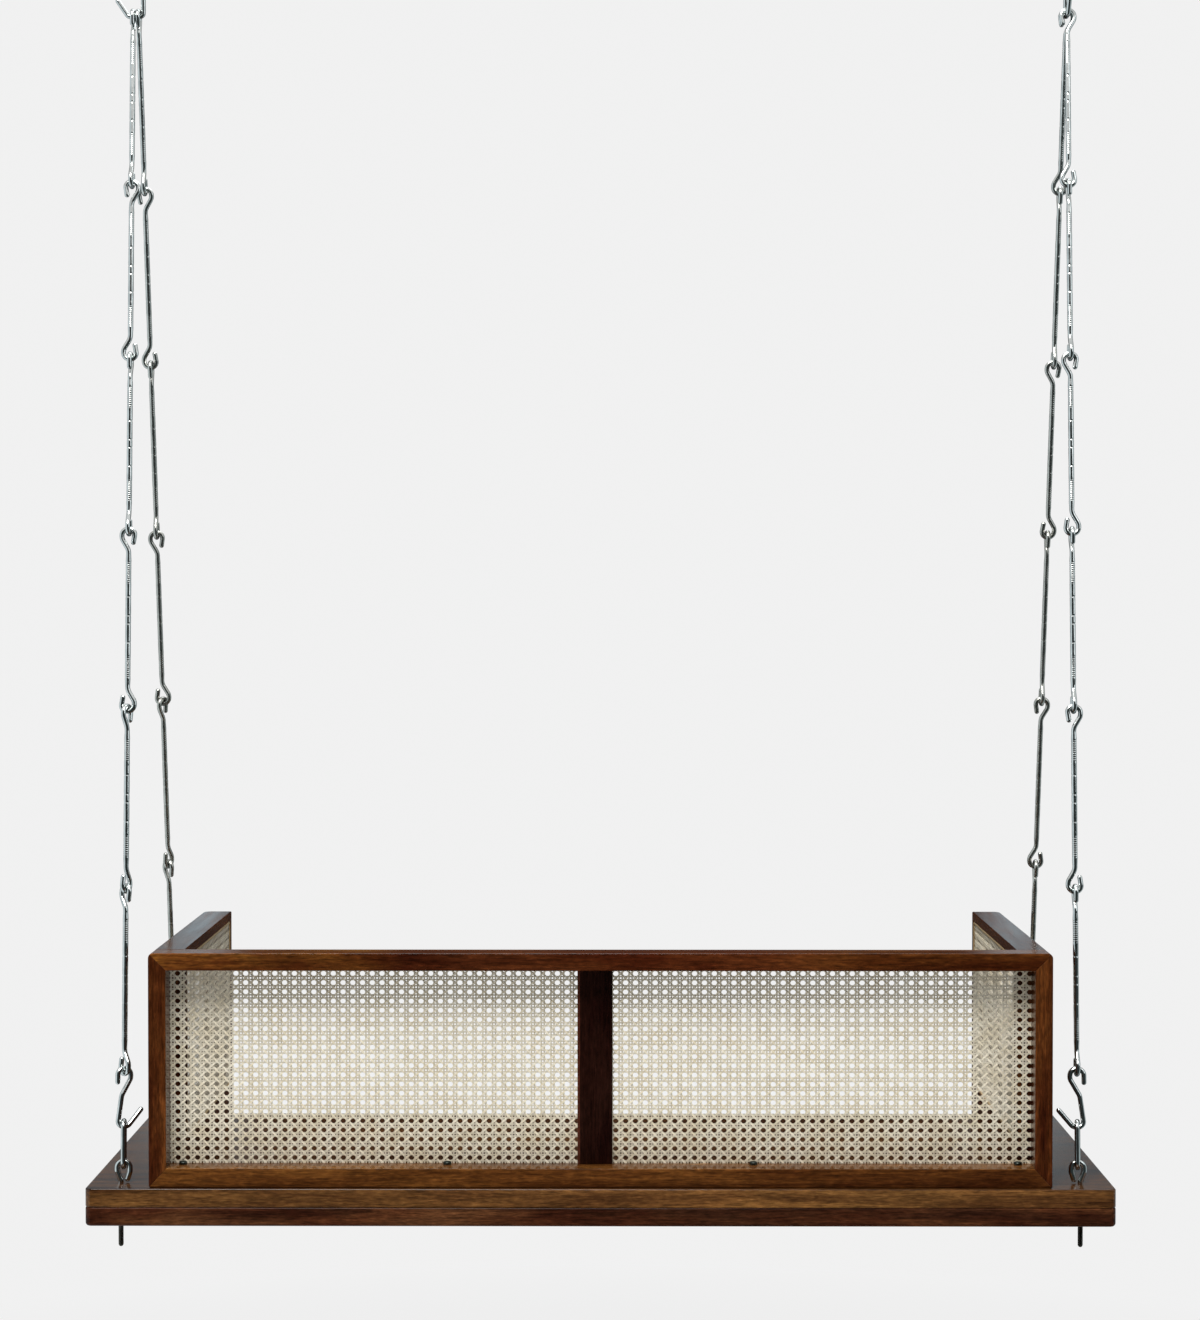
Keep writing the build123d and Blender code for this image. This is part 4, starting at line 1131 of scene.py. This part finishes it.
# ---------------------------------------------------------------- bolts, nuts and plates
def eye_bolt_surface(chain, board, under):
    """An eye bolt: a pear-shaped eye that stands on the seat, and a shank with a rolled thread.

    The thread's radius falls and rises once each pitch along the shank, and a full turn round
    the shank moves that wave on by one pitch, so it climbs as a screw does.
    """
    pitch, depth, thread_above, fade, thread_step = 0.00125, 0.15, 0.010, 0.001, 0.00021
    top = chain.eye_height + (chain.bolt_wire + chain.play) / 2
    wide, offset, radius = chain.eye_half_width, chain.eye_offset, chain.bolt_wire / 2
    tip_gap, seat_gap = 0.0008, 0.00015
    tip, side_bend = chain.bolt_wire - offset + tip_gap, top - 1.6 * wide
    lean = math.atan2(wide - tip, side_bend)
    points = [(tip, seat_gap + radius * math.sin(lean)), (wide, side_bend), (wide, top), (-wide, top),
              (-wide, top - 1.45 * wide), (-offset, radius / 2), (-offset, -board - under)]
    loop = wide * 0.98
    coarse, far = bent_path(points, [wide, loop, loop, wide * 0.8, wide * 0.5], WIRE_STEP)
    length = far[-1]
    threads = np.arange(length - under - thread_above - 0.002, length - fade, thread_step)
    stations = np.union1d(rounded_stations(length, radius, WIRE_STEP), threads)
    angles = np.linspace(0, 2 * np.pi, chain.sides, endpoint=False)
    from_tip = length - stations
    start = np.clip((under + thread_above - from_tip) / fade, 0, 1)
    threaded = start * np.clip((from_tip - fade) / fade, 0, 1)
    wave = (from_tip[:, None] / pitch + angles / (2 * np.pi)) % 1
    cut = threaded[:, None] * np.abs(2 * wave - 1) * depth
    surface = dome_radius(stations, length, radius)[:, None] * (1 - cut)
    return wire_surface(resampled(coarse, far, stations), surface), surface.shape


class SwingMakeEyeBolts(Operator):
    """Makes the threaded eye bolts and dresses their washers and nuts"""

    bl_idname = "swing.make_eye_bolts"
    bl_label = "Make the eye bolts"

    def execute(self, context):
        chain = context.scene.swing_chain
        oily_depth = 0.050
        material = steel_material("eye_bolt_steel", tuple(chain.plating), chain.rod_roughness,
                                  dark_below=seat_high[2] - oily_depth)
        under_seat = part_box("seat_rear_rail")[0][2]
        for side, sign in SIDES.items():
            for end in ENDS:
                node = f"{side}_{end}_eye_bolt"
                below = under_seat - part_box(node)[0][2]
                surface, rings = eye_bolt_surface(chain, seat_high[2] - under_seat, below)
                spot = turned(surface, 0 if sign < 0 else 180) + bolt_place(chain, side, end)
                metal_piece(f"{node}_threaded", "seat", node, [(spot, rings)], material)
        dull = steel_material("nut_steel", (0.50, 0.50, 0.48), 0.3)
        dress("eye_bolt_washers", dull)
        dress("eye_bolt_nuts", dull)
        return {"FINISHED"}


class SwingDressPlates(Operator):
    """Gives the ceiling plates their plating"""

    bl_idname = "swing.dress_plates"
    bl_label = "Dress the ceiling plates"

    def execute(self, context):
        chain = context.scene.swing_chain
        material = steel_material("plate_steel", tuple(chain.plating), 0.22)
        for side in SIDES:
            dress(f"{side}_ceiling_plate", material)
        return {"FINISHED"}


class SwingDressScrews(Operator):
    """Darkens the bolts in the back and the screws under the seat"""

    bl_idname = "swing.dress_screws"
    bl_label = "Dress the screws"

    def execute(self, context):
        material = steel_material("dark_bolt_steel", (0.055, 0.065, 0.058), 0.32, spots=0.4)
        for node in ("back_bolts", "frame_screws", "arm_screws"):
            dress(node, material)
        return {"FINISHED"}


# ---------------------------------------------------------------- stage
def background_nodes(tree, colour, other, out):
    """Shows the plain background to the camera, to gloss and through glass, and another to all else."""
    rays = tree.nodes.new("ShaderNodeLightPath")
    seen = math_node(tree, "MAXIMUM", rays.outputs["Is Camera Ray"], rays.outputs["Is Glossy Ray"])
    seen = math_node(tree, "MAXIMUM", seen, rays.outputs["Is Transmission Ray"])
    mix = tree.nodes.new("ShaderNodeMixShader")
    for place, socket in enumerate((seen, other, colour)):
        tree.links.new(socket, mix.inputs[place])
    tree.links.new(mix.outputs[0], out)


def set_world(stage):
    """The pale background, and the even light from all sides."""
    world = bpy.data.worlds.new("pale_room")
    tree, out = blank_tree(world, "ShaderNodeOutputWorld")
    pale = add_node(tree, "ShaderNodeBackground", {"Color": (*grey(stage.background), 1), "Strength": 1.0})
    soft = add_node(tree, "ShaderNodeBackground", {"Color": (0.97, 0.985, 1.0, 1), "Strength": stage.ambient})
    background_nodes(tree, pale.outputs[0], soft.outputs[0], out.inputs["Surface"])
    bpy.context.scene.world = world


def lay_floor(stage, floor_z):
    """A wide floor in the background's own colour, which takes the swing's shadow near the middle."""
    half_width, shadow_from, shadow_to, least_glow = 40.0, 0.9, 2.6, 0.62
    corners = np.array([(-1, -1, 0), (1, -1, 0), (1, 1, 0), (-1, 1, 0)]) * half_width + (0, 0, floor_z)
    material = bpy.data.materials.new("pale_floor")
    tree, out = blank_tree(material, "ShaderNodeOutputMaterial")
    lit = add_node(tree, "ShaderNodeBsdfDiffuse", {"Color": (*grey(0.80), 1)})
    glow = add_node(tree, "ShaderNodeEmission", {"Color": (*grey(stage.background), 1), "Strength": 1.0})
    flat = add_node(tree, "ShaderNodeVectorMath", {0: coordinates(tree), 1: (1, 1, 0)},
                    operation="MULTIPLY").outputs[0]
    away = add_node(tree, "ShaderNodeVectorMath", {0: flat}, operation="LENGTH").outputs["Value"]
    part = add_node(tree, "ShaderNodeMixShader",
                    {0: share_between(tree, away, shadow_from, shadow_to, least_glow, 1.0)})
    tree.links.new(lit.outputs[0], part.inputs[1])
    tree.links.new(glow.outputs[0], part.inputs[2])
    background_nodes(tree, part.outputs[0], lit.outputs[0], out.inputs["Surface"])
    make_object("floor", corners, [np.array([[0, 1, 2, 3]])], material, smooth=False)


def room_bands(cool):
    """The colours round the dark room, low down and higher up, by degrees from behind the seat.

    Dark, a wide pale window on the left and a narrow dim one on the right, dark, then blue grey in
    front of the sitter with a paler strip and a brown middle. Higher up the blue grey is darker.
    """
    dark, brown = (0.034, 0.042, 0.042), (0.050, 0.030, 0.022)
    pale, dim, sky = (0.88, 0.96, 1.0), (0.62, 0.70, 0.72), (0.80, 0.97, 1.06)
    shaded = scaled(cool, 0.62)
    left = [(-132, dark), (-128, pale), (-47, pale), (-40, dark)]
    right = [(76, dark), (84, dim), (126, dim), (132, dark)]
    low = [(146, dark), (151, cool), (164.2, cool), (164.8, sky), (166.5, sky), (167.2, brown)]
    high = [(146, dark), (151, shaded), (164, shaded), (165, brown)]
    return [[(-turn, colour) for turn, colour in beyond[::-1]] + left + right + beyond
            for beyond in (low, high)]


def room_material(stage, bottom):
    """A glow whose colour runs round the room and changes at a line up its wall."""
    material = bpy.data.materials.new("dark_room")
    tree, out = blank_tree(material, "ShaderNodeOutputMaterial")
    place = add_node(tree, "ShaderNodeUVMap", uv_map=UV_MAP).outputs[0]
    round_room = coordinate(tree, place, "X")
    low, high = (ramp(tree, round_room, [(0.5 + degrees / 360, colour) for degrees, colour in bands])
                 for bands in room_bands(tuple(stage.curtain_colour)))
    line, blur = (stage.curtain_line - bottom) / (stage.curtain_top - bottom), 0.005
    step = share_between(tree, coordinate(tree, place, "Y"), line - blur, line + blur)
    glow = add_node(tree, "ShaderNodeEmission", {"Color": mixed(tree, step, low, high), "Strength": 1.0})
    tree.links.new(glow.outputs[0], out.inputs["Surface"])
    return material


def dark_room(stage, floor_z):
    """A round curtain and a carpet that only gloss and reflections see, so bright metal has contrast.

    The curtain's points are the radius times the sine and minus the cosine of each angle, at two
    heights, and the carpet runs from its foot to a small ring. U is the share of a turn.
    """
    angles = np.radians(np.linspace(-180, 180, 361))
    x, y = stage.curtain_radius * np.sin(angles), -stage.curtain_radius * np.cos(angles)
    bottom, count, inner_share = floor_z + 0.01, len(angles), 0.02
    heights = np.array([bottom, stage.curtain_top])
    wall = np.stack([np.repeat(x, 2), np.repeat(y, 2), np.tile(heights, count)], axis=-1)
    carpet = np.column_stack([x, y, np.full(count, bottom)])
    points = np.concatenate([wall, carpet, carpet * [inner_share, inner_share, 1]])
    first = np.arange(0, 2 * count - 2, 2)
    rim, middle = np.arange(count - 1) + 2 * count, np.arange(count - 1) + 3 * count
    quads = np.concatenate([np.stack([first, first + 1, first + 3, first + 2], axis=-1),
                            np.stack([rim, rim + 1, middle + 1, middle], axis=-1)])
    share = 0.5 + angles / (2 * np.pi)
    up = np.concatenate([np.tile([0.0, 1.0], count), np.zeros(2 * count)])
    uv = np.stack([np.concatenate([np.repeat(share, 2), share, share]), up], axis=-1)
    room = make_object("dark_room", points, [quads], room_material(stage, bottom), uv=uv)
    room.visible_camera = False
    room.visible_diffuse = False
    room.visible_shadow = False
    room.visible_transmission = False


def hang_lamps(stage):
    """Three soft square lamps, turned to face the swing."""
    target = np.array([0, 0, seat_high[2] + 0.45])
    lamps = (
        ("key_lamp", (-0.9, -2.9, 4.6), 2.6, stage.key, (1.0, 0.985, 0.96)),
        ("fill_lamp", (4.2, -2.6, 2.0), 2.4, stage.fill, (0.94, 0.97, 1.0)),
        ("top_lamp", (0.4, 1.6, 3.4), 2.4, stage.top, (0.93, 0.97, 1.0)),
    )
    for name, offset, size, power, colour in lamps:
        light = bpy.data.lights.new(name, "AREA")
        light.size, light.energy, light.color = size, power, colour
        lamp = bpy.data.objects.new(name, light)
        bpy.context.scene.collection.objects.link(lamp)
        lamp.location = target + offset
        away = np.array(offset)
        tilt, turn = math.atan2(math.hypot(away[0], away[1]), away[2]), math.atan2(-away[1], -away[0])
        lamp.rotation_euler = (tilt, 0, turn - math.pi / 2)


def set_camera(stage):
    """The camera behind the seat, and the plain view transform."""
    scene = bpy.context.scene
    lens = bpy.data.cameras.new("camera")
    lens.lens, lens.sensor_width, lens.sensor_fit, lens.clip_end = stage.lens, 36.0, "AUTO", 200
    camera = bpy.data.objects.new("camera", lens)
    scene.collection.objects.link(camera)
    y, z = seat_low[1] - stage.camera_distance, seat_high[2] + stage.camera_height
    camera.location = (stage.camera_x, y, z)
    camera.rotation_euler = (math.pi / 2 - stage.pitch, 0, stage.yaw)
    scene.camera = camera
    scene.view_settings.view_transform = "Standard"


class SwingSetStage(Operator):
    """Sets the floor, the even background, the soft lamps and the camera"""

    bl_idname = "swing.set_stage"
    bl_label = "Set the stage"

    def execute(self, context):
        stage = context.scene.swing_stage
        floor_z = seat_high[2] - stage.floor_drop
        set_world(stage)
        lay_floor(stage, floor_z)
        dark_room(stage, floor_z)
        hang_lamps(stage)
        set_camera(stage)
        return {"FINISHED"}


# ---------------------------------------------------------------- panel
class SwingPanel(Panel):
    """Lists the steps that dress the swing"""

    bl_idname = "SWING_PT_steps"
    bl_label = "Jhoola swing"
    bl_space_type = "VIEW_3D"
    bl_region_type = "UI"
    bl_category = "Swing"

    def draw(self, context):
        layout = self.layout
        for step in STEPS:
            layout.operator(step.bl_idname, text=step.bl_label)
        for name, group in GROUPS.items():
            box = layout.box()
            settings = getattr(context.scene, name)
            for key in group.__annotations__:
                box.prop(settings, key)


GROUPS = {
    "swing_wood": SwingWoodSettings,
    "swing_cane": SwingCaneSettings,
    "swing_chain": SwingChainSettings,
    "swing_stage": SwingStageSettings,
}
STEPS = (
    SwingSetStage,
    SwingDressWood,
    SwingWeaveCane,
    SwingMakeRods,
    SwingMakeHooks,
    SwingMakeRings,
    SwingMakeEyeBolts,
    SwingDressPlates,
    SwingDressScrews,
)


def register():
    """Registers the settings, the operators and the panel."""
    for group in GROUPS.values():
        bpy.utils.register_class(group)
    for name, group in GROUPS.items():
        setattr(bpy.types.Scene, name, PointerProperty(type=group))
    for step in STEPS:
        bpy.utils.register_class(step)
    bpy.utils.register_class(SwingPanel)


def unregister():
    """Takes them away again."""
    bpy.utils.unregister_class(SwingPanel)
    for step in reversed(STEPS):
        bpy.utils.unregister_class(step)
    for name in GROUPS:
        delattr(bpy.types.Scene, name)
    for group in GROUPS.values():
        bpy.utils.unregister_class(group)


def main():
    register()
    for step in STEPS:
        module, name = step.bl_idname.split(".")
        getattr(getattr(bpy.ops, module), name)()
    bpy.context.view_layer.update()


if __name__ == "__main__":
    main()
